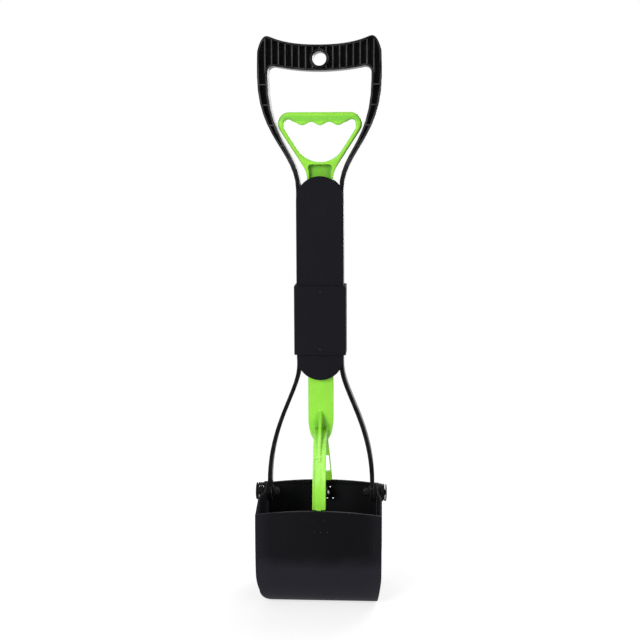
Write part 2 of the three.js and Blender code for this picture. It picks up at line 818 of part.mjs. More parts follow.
// Middle line of a leg in Y and Z, from the bar out over the elbow and down to the shoulder.
function legMiddleLine(shoulderRise) {
  const shoulderZ = linkPinHeight + shoulderRise;
  const footY = -linkArm + shoulderRise * legLean;
  const elbowY = footY + (legElbowHeight - legElbowHandle - shoulderZ) * legLean;
  const path = new THREE.Path();
  path.moveTo(0, legRootHeight);
  path.bezierCurveTo(
    -legRootHandle, legRootHeight,
    elbowY + legElbowHandle * legLean, legElbowHeight,
    elbowY, legElbowHeight - legElbowHandle,
  );
  path.lineTo(footY, shoulderZ);
  return sampled(path, 14);
}

// Side outline of the leg, with more thickness at its root than at its foot.
function legOutline(shoulderRise, inset) {
  const line = legMiddleLine(shoulderRise);
  const half = (share) => mix(legRootThickness, legFootThickness, share) / 2;
  const outer = offsetLine(line, (share) => -half(share) + inset);
  const inner = offsetLine(line, (share) => half(share));
  return { outer, inner };
}

// The narrow tongue that reaches down from a leg's shoulder to its link pin.
function legTongue(shoulderRise) {
  const shape = new THREE.Shape();
  const rise = shoulderRise + overrun;
  const top = linkPinHeight + rise;
  const topY = -linkArm + rise * legLean;
  const half = legFootThickness / 2;
  shape.moveTo(topY + half, top);
  shape.lineTo(topY - half, top);
  shape.lineTo(-linkArm - tongueRadius, linkPinHeight);
  shape.absarc(-linkArm, linkPinHeight, tongueRadius, Math.PI, 2 * Math.PI, false);
  return fromSide(shape, -tongueThickness / 2, tongueThickness / 2);
}

function linkPinHole() {
  const reach = tongueThickness;
  return rodAlongX(linkPinRadius + touchGap, -reach, reach, -linkArm, linkPinHeight, 20);
}

// Front outline of a leg, whose width changes evenly from its elbow down to its rounded foot.
function legFrontShape(shoulderRise, elbowHalf, footHalf, inset = 0) {
  const half = footHalf - inset;
  const footZ = linkPinHeight + shoulderRise;
  const outline = new THREE.Path();
  outline.moveTo(0, legRootHeight + legRootThickness);
  outline.lineTo(elbowHalf - inset, legRootHeight + legRootThickness);
  outline.lineTo(elbowHalf - inset, legElbowHeight);
  outline.lineTo(half, footZ + legFootRound);
  outline.quadraticCurveTo(half, footZ, half - legFootRound, footZ);
  outline.lineTo(0, footZ);
  return new THREE.Shape(mirroredOutline(sampled(outline, 4)));
}

// A leg whose outer face has a shallow channel between two rims below its elbow.
function legBody(shoulderRise, elbowHalf, footHalf) {
  const { outer, inner } = legOutline(shoulderRise, 0);
  const reach = Math.max(elbowHalf, footHalf);
  const front = (inset) => {
    return fromFront(legFrontShape(shoulderRise, elbowHalf, footHalf, inset), -jawHalfDepth, 0);
  };
  const body = fromSide(new THREE.Shape([...outer, ...inner.reverse()]), -reach, reach)
    .intersect(front(0));
  const floor = legOutline(shoulderRise, legRimHeight).outer;
  const beyond = legOutline(shoulderRise, -overrun).outer;
  const channel = fromSide(new THREE.Shape([...beyond, ...floor.reverse()]), -reach, reach)
    .intersect(front(legRimWidth))
    .intersect(box(-reach, reach, -jawHalfDepth, 0, 0, legElbowHeight));
  return body.subtract(channel);
}

function pullBar() {
  const face = barDepth / 2;
  const outline = new THREE.Path();
  outline.moveTo(0, lapTop);
  outline.lineTo(barHalfWidth, lapTop);
  outline.lineTo(barHalfWidth, barTaperTop);
  outline.quadraticCurveTo(
    barHalfWidth, barKneeHeight + barKneeHandle,
    barKneeHalfWidth, barKneeHeight,
  );
  outline.lineTo(barEndHalfWidth, barBottom);
  outline.lineTo(0, barBottom);
  let bar = fromFront(new THREE.Shape(mirroredOutline(sampled(outline, 5))), -face, face);

  // The bar is a channel, open to the rear, between the lap and the rear leg's seat.
  bar = bar.subtract(box(
    -barHalfWidth + barWall, barHalfWidth - barWall,
    -face + barSkin, face + overrun,
    lapPlateTop + barWall, lapBottom - barWall,
  ));
  const lapReach = barHalfWidth + overrun;
  bar = bar.subtract(box(
    -lapReach, lapReach,
    -touchGap / 2, face + overrun,
    lapBottom - touchGap, lapTop + overrun,
  ));

  // The fin braces the elbow and runs out into the leg's outer face.
  const leg = legBody(frontLegShoulderRise, frontLegElbowHalfWidth, frontLegFootHalfWidth);
  const finShape = new THREE.Shape();
  const line = legOutline(frontLegShoulderRise, 0).outer;
  const finEnd = line[Math.round(line.length * finEndShare)];
  const bendZ = mix(finTop, finEnd.y, finCurveShare);
  finShape.moveTo(-face + overrun, finTop);
  finShape.lineTo(-face, finTop);
  finShape.quadraticCurveTo(finEnd.x + (bendZ - finEnd.y) * legLean, bendZ, finEnd.x, finEnd.y);
  finShape.lineTo(finEnd.x + overrun, finEnd.y - overrun);
  finShape.lineTo(-face + overrun, legRootHeight);
  const fin = fromSide(finShape, -finThickness / 2, finThickness / 2);
  bar = joined([bar, leg, fin, legTongue(frontLegShoulderRise)]);
  return cutBy(bar, [linkPinHole(), ...rodScrewHoles(), ...legScrewHoles(1)]);
}

const legScrewHeights = [legScrewTop, legScrewTop - legScrewSpacing];
const lapPlateInside = barDepth / 2 + touchGap;
const lapPlateFace = lapPlateInside + lapPlateThickness;

// Holes for the rear leg's screws, seen from the front (side -1) or from the rear (side 1).
function legScrewHoles(side) {
  const across = (radius, from, to, z, sides) => {
    const ends = [side * from, side * to];
    return rodAlongY(radius, Math.min(...ends), Math.max(...ends), 0, z, sides);
  };
  const recess = rodScrewHeadHeight + rodScrewSink;
  return legScrewHeights.flatMap((z) => [
    across(rodScrewRadius + touchGap, -barDepth / 2 + legScrewSkin, lapPlateFace + overrun, z, 8),
    across(rodScrewHeadRadius + touchGap, lapPlateFace - recess, lapPlateFace + overrun, z, 14),
  ]);
}

// A leg screw, drawn with its head in front like the rear leg.
function legScrew(z) {
  const headFront = -lapPlateFace + rodScrewSink;
  const headBack = headFront + rodScrewHeadHeight - touchGap;
  const shankEnd = barDepth / 2 - legScrewSkin - touchGap;
  const head = rodAlongY(rodScrewHeadRadius, headFront, headBack, 0, z, 14);
  const shank = rodAlongY(rodScrewRadius, headBack - touchGap, shankEnd, 0, z, 8);
  return crossSlotted(head.add(shank), rodScrewHeadRadius, headFront, z);
}

// The rear leg, drawn as if it were in front; it is turned half round when it is placed.
function rearLeg() {
  const rise = rearLegShoulderRise;
  const root = rearLegElbowHalfWidth;
  const reach = rearLegFootHalfWidth;
  const barSide = box(-reach, reach, -lapPlateInside, overrun, 0, overallHeight);
  const leg = legBody(rise, root, reach).subtract(barSide);
  const plate = new THREE.Shape();
  const plateArcZ = lapPlateTop - lapPlateHalfWidth;
  plate.moveTo(-root, legRootHeight - legRootThickness / 2);
  plate.lineTo(root, legRootHeight - legRootThickness / 2);
  plate.lineTo(lapPlateHalfWidth, legRootHeight + legRootThickness);
  plate.lineTo(lapPlateHalfWidth, plateArcZ);
  plate.absarc(0, plateArcZ, lapPlateHalfWidth, 0, Math.PI, false);
  plate.lineTo(-lapPlateHalfWidth, legRootHeight + legRootThickness);
  const window = fromFront(legFrontShape(rise, root, reach, windowRim), -jawHalfDepth, 0)
    .intersect(box(-reach, reach, -jawHalfDepth, 0, windowBottom, windowTop));
  const seat = fromFront(plate, -lapPlateFace, -lapPlateInside);
  const whole = joined([leg, seat, legTongue(rearLegShoulderRise)]);
  return cutBy(whole, [window, linkPinHole(), ...legScrewHoles(-1)]);
}

// The front link pin with its head on the +X side; the rear one is turned half round.
function linkPin() {
  const headInside = earOuterFace + touchGap;
  const end = -headInside - clipThickness - linkPinEnd;
  const headOutside = headInside + linkPinHeadThickness;
  const shankEnd = headInside + touchGap;
  const shank = rodAlongX(linkPinRadius, end, shankEnd, -linkArm, linkPinHeight, 16);
  const head = rodAlongX(linkPinHeadRadius, headInside, headOutside, -linkArm, linkPinHeight, 16);
  return shank.add(head);
}

// The push-on clip at the headless end of a link pin.
function pinClip() {
  const inside = -earOuterFace - touchGap;
  const outside = inside - clipThickness;
  const boreRadius = linkPinRadius + touchGap;
  const bore = [outside - overrun, inside + overrun];
  return rodAlongX(linkPinHeadRadius, outside, inside, -linkArm, linkPinHeight, 16)
    .subtract(rodAlongX(boreRadius, ...bore, -linkArm, linkPinHeight, 16));
}

// Jaws

// Side profile of the jaw's outer skin, with the hinge ear and the cheeks' overlap.
function jawSkinProfile() {
  const cheekY = -jawHalfDepth + jawWall + rimThickening;
  const cheekAngle = Math.atan2(cheekRimHeight - hingeHeight, cheekY);
  const cheekDistance = Math.hypot(cheekY, cheekRimHeight - hingeHeight);
  const tangentAngle = cheekAngle + 2 * Math.PI - Math.acos(hingeEarRadius / cheekDistance);
  const overlapAngle = -Math.acos(cheekOverlap / hingeEarRadius);
  const shape = new THREE.Shape();
  shape.moveTo(cheekOverlap, 0);
  shape.lineTo(-soleHalfDepth, 0);
  shape.absellipse(
    -soleHalfDepth, soleCurveHeight, jawHalfDepth - soleHalfDepth, soleCurveHeight,
    -Math.PI / 2, -Math.PI, true, 0,
  );
  shape.lineTo(-jawHalfDepth, rimHeight);
  shape.lineTo(cheekY, rimHeight);
  shape.lineTo(cheekY, cheekRimHeight);
  shape.absarc(0, hingeHeight, hingeEarRadius, tangentAngle, overlapAngle, true);
  return shape;
}

function jawHollowProfile() {
  const wallY = -jawHalfDepth + jawWall;
  const rimY = wallY + rimThickening;
  const rimBand = rimHeight - rimBandHeight;
  const shape = new THREE.Shape();
  shape.moveTo(jawHalfDepth, jawWall);
  shape.lineTo(-soleHalfDepth, jawWall);
  shape.absellipse(
    -soleHalfDepth, soleCurveHeight, -soleHalfDepth - wallY, soleCurveHeight - jawWall,
    -Math.PI / 2, -Math.PI, true, 0,
  );
  shape.lineTo(wallY, rimBand - rimThickening);
  shape.lineTo(rimY, rimBand);
  shape.lineTo(rimY, hingeHeight + jawHalfDepth);
  shape.lineTo(jawHalfDepth, hingeHeight + jawHalfDepth);
  return shape;
}

// Front outline of the jaw: the outer cheek is on the +X side, the inner one on the -X side.
function jawFrontOutline(inset, floorZ) {
  const top = hingeHeight + 2 * hingeEarRadius;
  const rim = jawRimHalfWidth - inset;
  const bulge = jawHalfWidth - inset;
  const outerRadius = outerCornerRadius - inset;
  const innerRadius = innerCornerRadius - inset;
  const outerArcX = outerFootHalfWidth - outerCornerRadius;
  const innerArcX = -innerFootHalfWidth + innerCornerRadius;
  const bendZ = mix(sideBulgeBottom, innerCornerRadius, sideCurveShare);
  const shape = new THREE.Shape();
  shape.moveTo(rim, top);
  shape.quadraticCurveTo(bulge, rimHeight, bulge, sideBulgeTop);
  shape.lineTo(bulge, sideBulgeBottom);
  shape.quadraticCurveTo(bulge, bendZ, outerArcX + outerRadius, floorZ + outerRadius);
  shape.absarc(outerArcX, floorZ + outerRadius, outerRadius, 0, -Math.PI / 2, true);
  shape.absarc(innerArcX, floorZ + innerRadius, innerRadius, -Math.PI / 2, -Math.PI, true);
  shape.quadraticCurveTo(-bulge, bendZ, -bulge, sideBulgeBottom);
  shape.lineTo(-bulge, sideBulgeTop);
  shape.quadraticCurveTo(-bulge, rimHeight, -rim, top);
  return shape;
}

// Plan outline of the jaw: flat cheeks beside the hinge that flare out towards the front wall.
// Beside the hinge the inner cheek steps in by the other jaw's outer cheek.
function jawPlanOutline(inset) {
  const stepCount = 8;
  const ys = [hingeEarRadius + overrun];
  for (let step = 0; step <= stepCount; step += 1) {
    ys.push(-mix(waistReach, flareReach, step / stepCount));
  }
  ys.push(-jawHalfDepth - overrun);
  const flare = (y) => smoothStep(-y, waistReach, flareReach);
  const reach = (y, step) => mix(jawWaistHalfWidth - step, jawHalfWidth, flare(y)) - inset;
  const right = ys.map((y) => new THREE.Vector2(reach(y, 0), y));
  const left = ys.map((y) => new THREE.Vector2(-reach(y, cheekStep), y)).reverse();
  return new THREE.Shape([...right, ...left]);
}

// The zone behind the lip line, with teeth that mesh with those of the other jaw.
function beyondLip() {
  const points = [];
  const count = Math.floor((2 * jawHalfWidth) / toothPitch) - 1;
  for (let index = 0; index < 2 * count; index += 1) {
    const x = (index - count + 0.5) * (toothPitch / 2);
    const side = index % 2 === count % 2 ? 1 : -1;
    points.push(new THREE.Vector2(x, side * toothDepth - lipGap / 2));
  }
  const edge = (count + 0.5) * (toothPitch / 2);
  const far = 2 * jawHalfWidth;
  const shape = new THREE.Shape([
    new THREE.Vector2(-far, -lipGap / 2),
    new THREE.Vector2(-edge, -lipGap / 2),
    ...points,
    new THREE.Vector2(edge, -lipGap / 2),
    new THREE.Vector2(far, -lipGap / 2),
    new THREE.Vector2(far, jawHalfDepth),
    new THREE.Vector2(-far, jawHalfDepth),
  ]);
  return fromAbove(shape, -overrun, lipHeight);
}

// The two ears on the inside of the rim, with slots that take up the pin's small drift.
function linkEars() {
  const pinDistance = Math.hypot(linkArm, linkDrop);
  const nearY = (-linkArm * linkArm) / pinDistance;
  const nearZ = hingeHeight - (linkDrop * linkArm) / pinDistance;
  const slotRadius = linkPinRadius + linkPinPlay;
  const earRadius = slotRadius + earWall;
  const wallY = -jawHalfDepth + jawWall / 2;
  const shape = new THREE.Shape();
  shape.moveTo(wallY, linkPinHeight - earRootDrop);
  shape.lineTo(nearY, nearZ - earRadius);
  shape.absarc(nearY, nearZ, earRadius, -Math.PI / 2, Math.PI / 2, false);
  shape.lineTo(wallY, linkPinHeight + earRootRise);
  const ears = [-1, 1].map((side) => {
    const inside = side * earInnerFace;
    const outside = side * earOuterFace;
    return fromSide(shape, Math.min(inside, outside), Math.max(inside, outside), 8);
  });
  const slide = new THREE.Vector2(nearY + linkArm, nearZ - linkPinHeight);
  const across = new THREE.Vector2(-slide.y, slide.x).setLength(slotRadius);
  const restPoint = new THREE.Vector2(-linkArm, linkPinHeight);
  const nearPoint = new THREE.Vector2(nearY, nearZ);
  const middle = new THREE.Shape([
    restPoint.clone().add(across),
    restPoint.clone().sub(across),
    nearPoint.clone().sub(across),
    nearPoint.clone().add(across),
  ]);
  const reach = earOuterFace + overrun;
  const slot = joined([
    rodAlongX(slotRadius, -reach, reach, -linkArm, linkPinHeight, 20),
    rodAlongX(slotRadius, -reach, reach, nearY, nearZ, 20),
    fromSide(middle, -reach, reach),
  ]);
  return joined(ears).subtract(slot);
}

// The front jaw; the rear one is the same piece turned half round.
function jaw() {
  const reach = jawHalfWidth + overrun;
  const depth = jawHalfDepth + overrun;
  const planHigh = hingeHeight + 2 * hingeEarRadius;
  const skin = fromSide(jawSkinProfile(), -reach, reach, 14)
    .intersect(fromFront(jawFrontOutline(0, 0), -depth, depth, 0, 7))
    .intersect(fromAbove(jawPlanOutline(0), -overrun, planHigh));
  const hollow = fromSide(jawHollowProfile(), -reach, reach, 14)
    .intersect(fromFront(jawFrontOutline(cheekWall, jawWall), -depth, depth, 0, 7))
    .intersect(fromAbove(jawPlanOutline(cheekWall), -overrun, planHigh + overrun));
  const arch = new THREE.Shape();
  const archEnd = rimHeight - rimArch;
  arch.moveTo(-jawHalfWidth, archEnd);
  arch.quadraticCurveTo(0, rimHeight + rimArch, jawHalfWidth, archEnd);
  arch.lineTo(jawHalfWidth, planHigh);
  arch.lineTo(-jawHalfWidth, planHigh);
  const rimEnd = -jawHalfDepth + jawWall + rimThickening;
  const aboveRim = fromFront(arch, -jawHalfDepth - overrun, rimEnd, 0, 12);
  let shell = cutBy(skin, [hollow, aboveRim, beyondLip()]);
  const postY = -springRadius + wireRadius + touchGap + postRadius;
  const postRoot = jawWaistHalfWidth - cheekWall / 2;
  const postTip = springStart + wireRadius + postRise;
  const post = rodAlongX(postRadius, postRoot, postTip, postY, hingeHeight - postDrop, 14);
  shell = joined([shell, linkEars(), post]);
  const hingeHole = rodAlongX(sleeveRadius + touchGap, -reach, reach, 0, hingeHeight, 24);
  return cutBy(shell, [hingeHole, ...jawVents()]);
}

// Small vent holes in two groups at the middle of the jaw's wall.
function jawVents() {
  const innerEnd = -jawHalfDepth + 2 * jawWall;
  const vent = (x, drop) => {
    return rodAlongY(ventRadius, -jawHalfDepth - overrun, innerEnd, x, hingeHeight - drop, 10);
  };
  return [-1, 1].flatMap((side) => [
    ...lowerVentPlaces.map((x) => vent(side * x, lowerVentDrop)),
    vent(side * upperVentPlace, upperVentDrop),
  ]);
}

// Hinge hardware on the +X side; the -X side is the same turned half round.

// Revolves a half profile of radius against place along X.
function turnedAlongX(profile, sides) {
  const points = profile.map(([radius, place]) => new THREE.Vector2(radius, place));
  const geometry = new THREE.LatheGeometry(points, sides);
  geometry.rotateZ(-Math.PI / 2);
  geometry.translate(0, 0, hingeHeight);
  return solidOf(geometry);
}

function hingeBolt() {
  const faceX = boltHeadInside + boltFlange;
  const profile = [
    [0, boltEnd],
    [boltRadius, boltEnd],
    [boltRadius, boltHeadInside],
    [boltHeadRadius, boltHeadInside],
  ];
  const domeSteps = 4;
  for (let step = 0; step < domeSteps; step += 1) {
    const angle = (step / domeSteps) * (Math.PI / 2);
    profile.push([boltHeadRadius * Math.cos(angle), faceX + boltDome * Math.sin(angle)]);
  }
  profile.push([0, faceX + boltDome]);
  const half = wireRadius + touchGap;
  const notch = box(
    boltHeadInside - overrun, faceX + boltDome + overrun, -half, half,
    hingeHeight - boltHeadRadius - overrun, hingeHeight - springRadius + half,
  );
  return turnedAlongX(profile, 24).subtract(notch);
}

function ringAlongX(outerRadius, innerRadius, lowX, highX, sides) {
  const outer = rodAlongX(outerRadius, lowX, highX, 0, hingeHeight, sides);
  return outer.subtract(rodAlongX(innerRadius, lowX - overrun, highX + overrun, 0, hingeHeight, 16));
}

// The spacer tube that the jaws turn on and the spring is wound round.
function hingeSleeve() {
  return ringAlongX(sleeveRadius, boltRadius + boltFit, innerEarFace, boltHeadInside - touchGap, 20);
}

const washerOutside = eyeInner - touchGap;
const nutOutside = washerOutside - washerThickness - touchGap;

function hingeWasher() {
  return ringAlongX(washerRadius, boltRadius + boltFit, washerOutside - washerThickness, washerOutside, 20);
}

function hingeNut() {
  const cornerRadius = nutHalfFlats / Math.cos(Math.PI / 6);
  return ringAlongX(cornerRadius, boltRadius + boltFit, nutOutside - nutThickness, nutOutside, 6);
}

// Middle line of the torsion spring: a straight leg down, the curls, and a tang into the bolt head.
function springLine() {
  const steps = Math.round(springCurlSteps * springTurns);
  const legSteps = 3;
  const line = [];
  for (let step = 0; step < legSteps; step += 1) {
    const drop = springLegLength * (1 - step / legSteps);
    line.push(new THREE.Vector3(springStart, -springRadius, hingeHeight - drop));
  }
  for (let step = 0; step <= steps; step += 1) {
    const turn = (step / steps) * springTurns;
    const angle = Math.PI - 2 * Math.PI * turn;
    line.push(new THREE.Vector3(
      springStart + springPitch * turn,
      springRadius * Math.cos(angle),
      hingeHeight + springRadius * Math.sin(angle),
    ));
  }

  // The last curl point gives way to a bend that turns the wire outward into the bolt head's notch.
  const bend = line.pop();
  line.push(new THREE.Vector3(bend.x, bend.y + wireRadius, bend.z));
  line.push(new THREE.Vector3(bend.x + wireRadius, bend.y, bend.z));
  line.push(new THREE.Vector3(boltHeadInside + boltFlange, bend.y, bend.z));
  return line;
}

// One unbroken tube round a line of points, closed at both ends.
function wireTube(line, radius, sides) {
  const positions = [];
  const indices = [];
  let across = new THREE.Vector3(1, 0, 0);
  line.forEach((point, index) => {
    const before = line[Math.max(index - 1, 0)];
    const after = line[Math.min(index + 1, line.length - 1)];
    const along = after.clone().sub(before).normalize();
    across = across.clone().addScaledVector(along, -across.dot(along)).normalize();
    const up = new THREE.Vector3().crossVectors(along, across);
    for (let side = 0; side < sides; side += 1) {
      const angle = (side / sides) * 2 * Math.PI;
      const corner = point.clone()
        .addScaledVector(across, radius * Math.cos(angle))
        .addScaledVector(up, radius * Math.sin(angle));
      positions.push(corner.x, corner.y, corner.z);
    }
  });
  const ring = (index, side) => index * sides + (side % sides);
  for (let index = 0; index + 1 < line.length; index += 1) {
    for (let side = 0; side < sides; side += 1) {
      indices.push(ring(index, side), ring(index, side + 1), ring(index + 1, side + 1));
      indices.push(ring(index, side), ring(index + 1, side + 1), ring(index + 1, side));
    }
  }
  const last = line.length - 1;
  for (let side = 1; side + 1 < sides; side += 1) {
    indices.push(ring(0, 0), ring(0, side + 1), ring(0, side));
    indices.push(ring(last, 0), ring(last, side), ring(last, side + 1));
  }
  const geometry = new THREE.BufferGeometry();
  geometry.setAttribute('position', new THREE.Float32BufferAttribute(positions, 3));
  geometry.setIndex(indices);
  return geometry;
}

// Least distance between the wire's surfaces at points that are half a curl apart or more.
function leastGap(line, radius) {
  let least = Infinity;
  line.forEach((point, index) => {
    line.slice(index + springCurlSteps / 2).forEach((other) => {
      least = Math.min(least, point.distanceTo(other) - 2 * radius);
    });
  });
  return least;
}

function jawSpring() {
  const line = springLine();
  console.log(`Least gap of the jaw spring to itself: ${leastGap(line, wireRadius).toFixed(2)} mm`);
  return solidOf(wireTube(line, wireRadius, springSides));
}

// Assembly

addPiece('upper_frame', upperFrame(), blackPlastic);
addPiece('right_lower_rail', lowerRail(), blackPlastic);
addPiece('left_lower_rail', lowerRail(), blackPlastic, true);
addPiece('front_cover', cover(), blackPlastic);
addPiece('rear_cover', cover(), blackPlastic, true);
addPiece('front_band', band(), blackPlastic);
addPiece('rear_band', band(), blackPlastic, true);
addPiece('front_band_screw_upper', bandScrew(bandScrewHeights[0]), darkSteel);
addPiece('front_band_screw_lower', bandScrew(bandScrewHeights[1]), darkSteel);
addPiece('rear_band_screw_upper', bandScrew(bandScrewHeights[0]), darkSteel, true);
addPiece('rear_band_screw_lower', bandScrew(bandScrewHeights[1]), darkSteel, true);

addPiece('pull_grip', pullGrip(), greenPlastic);
addPiece('pull_bar', pullBar(), greenPlastic);
addPiece('rear_leg', rearLeg(), greenPlastic, true);
addPiece('rod_screw_upper', rodScrew(rodScrewHeights[0]), brightSteel);
addPiece('rod_screw_lower', rodScrew(rodScrewHeights[1]), brightSteel);
addPiece('leg_screw_upper', legScrew(legScrewHeights[0]), brightSteel, true);
addPiece('leg_screw_lower', legScrew(legScrewHeights[1]), brightSteel, true);
addPiece('front_link_pin', linkPin(), brightSteel);
addPiece('rear_link_pin', linkPin(), brightSteel, true);
addPiece('front_pin_clip', pinClip(), brightSteel);
addPiece('rear_pin_clip', pinClip(), brightSteel, true);

addPiece('front_jaw', jaw(), blackPlastic);
addPiece('rear_jaw', jaw(), blackPlastic, true);

for (const [name, halfTurn] of [['right', false], ['left', true]]) {
  addPiece(`hinge_bolt_${name}`, hingeBolt(), darkSteel, halfTurn);
  addPiece(`hinge_sleeve_${name}`, hingeSleeve(), darkSteel, halfTurn);
  addPiece(`hinge_washer_${name}`, hingeWasher(), darkSteel, halfTurn);
  addPiece(`hinge_nut_${name}`, hingeNut(), darkSteel, halfTurn);
  addPiece(`jaw_spring_${name}`, jawSpring(), darkSteel, halfTurn);
}

export default pieces;
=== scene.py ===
import math

import bmesh
import bpy
from mathutils import Matrix, Vector


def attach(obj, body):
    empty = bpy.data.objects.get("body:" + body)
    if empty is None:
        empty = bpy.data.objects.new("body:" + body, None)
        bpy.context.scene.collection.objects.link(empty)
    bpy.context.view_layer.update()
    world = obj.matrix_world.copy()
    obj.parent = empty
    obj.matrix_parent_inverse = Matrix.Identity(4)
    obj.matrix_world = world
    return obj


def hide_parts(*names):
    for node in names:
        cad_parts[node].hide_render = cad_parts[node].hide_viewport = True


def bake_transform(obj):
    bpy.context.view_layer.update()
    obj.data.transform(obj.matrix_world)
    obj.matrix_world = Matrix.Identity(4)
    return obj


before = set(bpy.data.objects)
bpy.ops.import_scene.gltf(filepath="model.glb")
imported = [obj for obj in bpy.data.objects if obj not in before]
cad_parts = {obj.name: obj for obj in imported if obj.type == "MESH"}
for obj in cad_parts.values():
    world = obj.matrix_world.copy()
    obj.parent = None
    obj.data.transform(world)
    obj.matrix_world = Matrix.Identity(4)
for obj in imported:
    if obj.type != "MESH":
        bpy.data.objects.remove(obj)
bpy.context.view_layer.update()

MM = 0.001

# The jaw springs and their places on the hinge, in millimetres.
HINGE_HEIGHT = 112.0
SPRING_START = 62.35
SPRING_RADIUS = 8.6
SPRING_PITCH = 1.95
SPRING_TURNS = 2.75
SPRING_LEG = 17.0
WIRE_RADIUS = 0.75
BOLT_HEAD_INSIDE = 68.76
BOLT_FLANGE = 0.8

# How a spring's route is drawn. The points at its two ends are plain, the coils between them thicker.
LEG_STEPS = 6
STEPS_PER_TURN = 36
TANG_BEND = 0.3
COIL_SWELL = 1.15
PLAIN_POINTS_FIRST = 8
PLAIN_POINTS_LAST = 6

# Places that the finishes and the castings follow, in millimetres.
HANDLE_HALF_DEPTH = 11.0
RIB_SETBACK = 0.8
GRIP_BOTTOM = 553.0
RING_BOTTOM = 464.0
RING_BAND = 508.0
POCKET_TOP = 461.0
LEG_FORK = 109.0
JAW_RIM = 89.0

# Spans in millimetres over which a place's colour sets in, or ends.
CREST_SPAN = (0.3, 0.45)
RIM_DEPTH_SPAN = (4.0, 5.0)
RIM_HEIGHT_SPAN = (440.0, 475.0)
PAINTED_LIGHT_MIDDLE_SPAN = (42.0, 64.0)
PAINTED_LIGHT_FOOT_SPAN = (2.0, 40.0)
PAINTED_LIGHT_CHEEK_SPAN = (48.0, 64.0)
PAINTED_LIGHT_ACROSS_SPAN = (-55.0, 35.0)
INSIDE_SPAN = (-8.0, 0.0)
LIP_SPAN = (2.2, 7.0)
BAND_SPAN = (1.6, 4.2)
POCKET_SIDE_SPAN = (11.6, 12.6)
POCKET_DEPTH_SPAN = (3.0, 4.2)
POCKET_TOP_SPAN = (POCKET_TOP - 0.5, POCKET_TOP + 0.5)
STREAKS_START_SPAN = (122.0, 140.0)
STREAKS_END_SPAN = (176.0, 186.0)

# How the solids' copies are finished: lengths in millimetres, angles in degrees.
SAME_POINT = 0.002
FLAT_ANGLE = 0.6
SHARP_ANGLE = 25.0
ROUNDING_STEPS = 2
ROUNDED_CREASE = 40.0
CAST_CREASE = 75.0
WIRE_CREASE = 50.0
NORMAL_WEIGHT = 80
CAST_ROUNDS = 3
SOFTER_ROUNDS = 12
JOIN_ROUNDS = 4
JOIN_HEIGHT = 3

# Numbers of the sockets of a Mix node that mixes colours.
MIX_SHARE, MIX_FIRST, MIX_SECOND, MIX_RESULT = 0, 6, 7, 2

# Colours of painted highlights, painted light, painted shade and shadow, of steel bared by wear, and plain
# white.
PAINTED_RIB_HIGHLIGHT = (0.05, 0.05, 0.053, 1.0)
PAINTED_RIM_HIGHLIGHT = (0.034, 0.034, 0.037, 1.0)
PAINTED_JAW_LIGHT = (0.0195, 0.0186, 0.025, 1.0)
PAINTED_LIGHT_INSIDE = (0.0095, 0.0095, 0.0108, 1.0)
PAINTED_LIP_SHADOW = (0.006, 0.006, 0.007, 1.0)
PAINTED_BAND_SHADE = (0.185, 0.53, 0.043, 1.0)
PAINTED_POCKET_SHADE = (0.168, 0.49, 0.026, 1.0)
PAINTED_STREAK_HIGHLIGHT = (0.42, 0.85, 0.15, 1.0)
BARE_STEEL = (0.16, 0.16, 0.165, 1.0)
WHITE = (1.0, 1.0, 1.0, 1.0)

# Noise that has the same size along X, Y and Z.
EVEN = (1.0, 1.0, 1.0)

# The photograph's view: angles in degrees, distance and height in metres, lens and sensor in millimetres.
VIEW_TURN = 3.3
VIEW_DOWN = 8.398
VIEW_ROLL = 0.2
VIEW_AWAY = 1.2
VIEW_HEIGHT = 0.4759
SENSOR_WIDTH = 36.0
LENS_LENGTH = 64.77
LENS_SHIFT = -0.0011

# The floor, in metres, and how bright it and the air around it are.
FLOOR_HALF_WIDTH = 7.0
FLOOR_FADE_START = 0.22
FLOOR_FADE_END = 0.7
FLOOR_LIT_GREY = 0.8
FLOOR_SEEN_GREY = 0.45
FLOOR_GLOW = 0.66
AIR_LIGHT = 0.38


# Materials

class Value:
    """A socket of a material that Python's operators work on."""

    def __init__(self, finish, socket):
        self.finish = finish
        self.socket = socket

    def _math(self, operation, *values):
        return self.finish.node("ShaderNodeMath", {"operation": operation}, dict(enumerate(values)))

    def __add__(self, other):
        return self._math("ADD", self, other)

    def __radd__(self, other):
        return self._math("ADD", other, self)

    def __sub__(self, other):
        return self._math("SUBTRACT", self, other)

    def __rsub__(self, other):
        return self._math("SUBTRACT", other, self)

    def __mul__(self, other):
        return self._math("MULTIPLY", self, other)

    def __rmul__(self, other):
        return self._math("MULTIPLY", other, self)

    def away_from(self, middle):
        """The distance from a middle value."""
        return self._math("ABSOLUTE", self - middle)

    def above(self, low, high):
        """0 at low, 1 at high, smooth between them."""
        return self.finish.node(
            "ShaderNodeMapRange",
            {"interpolation_type": "SMOOTHSTEP"},
            {"Value": self, "From Min": low, "From Max": high, "To Min": 0.0, "To Max": 1.0},
        )


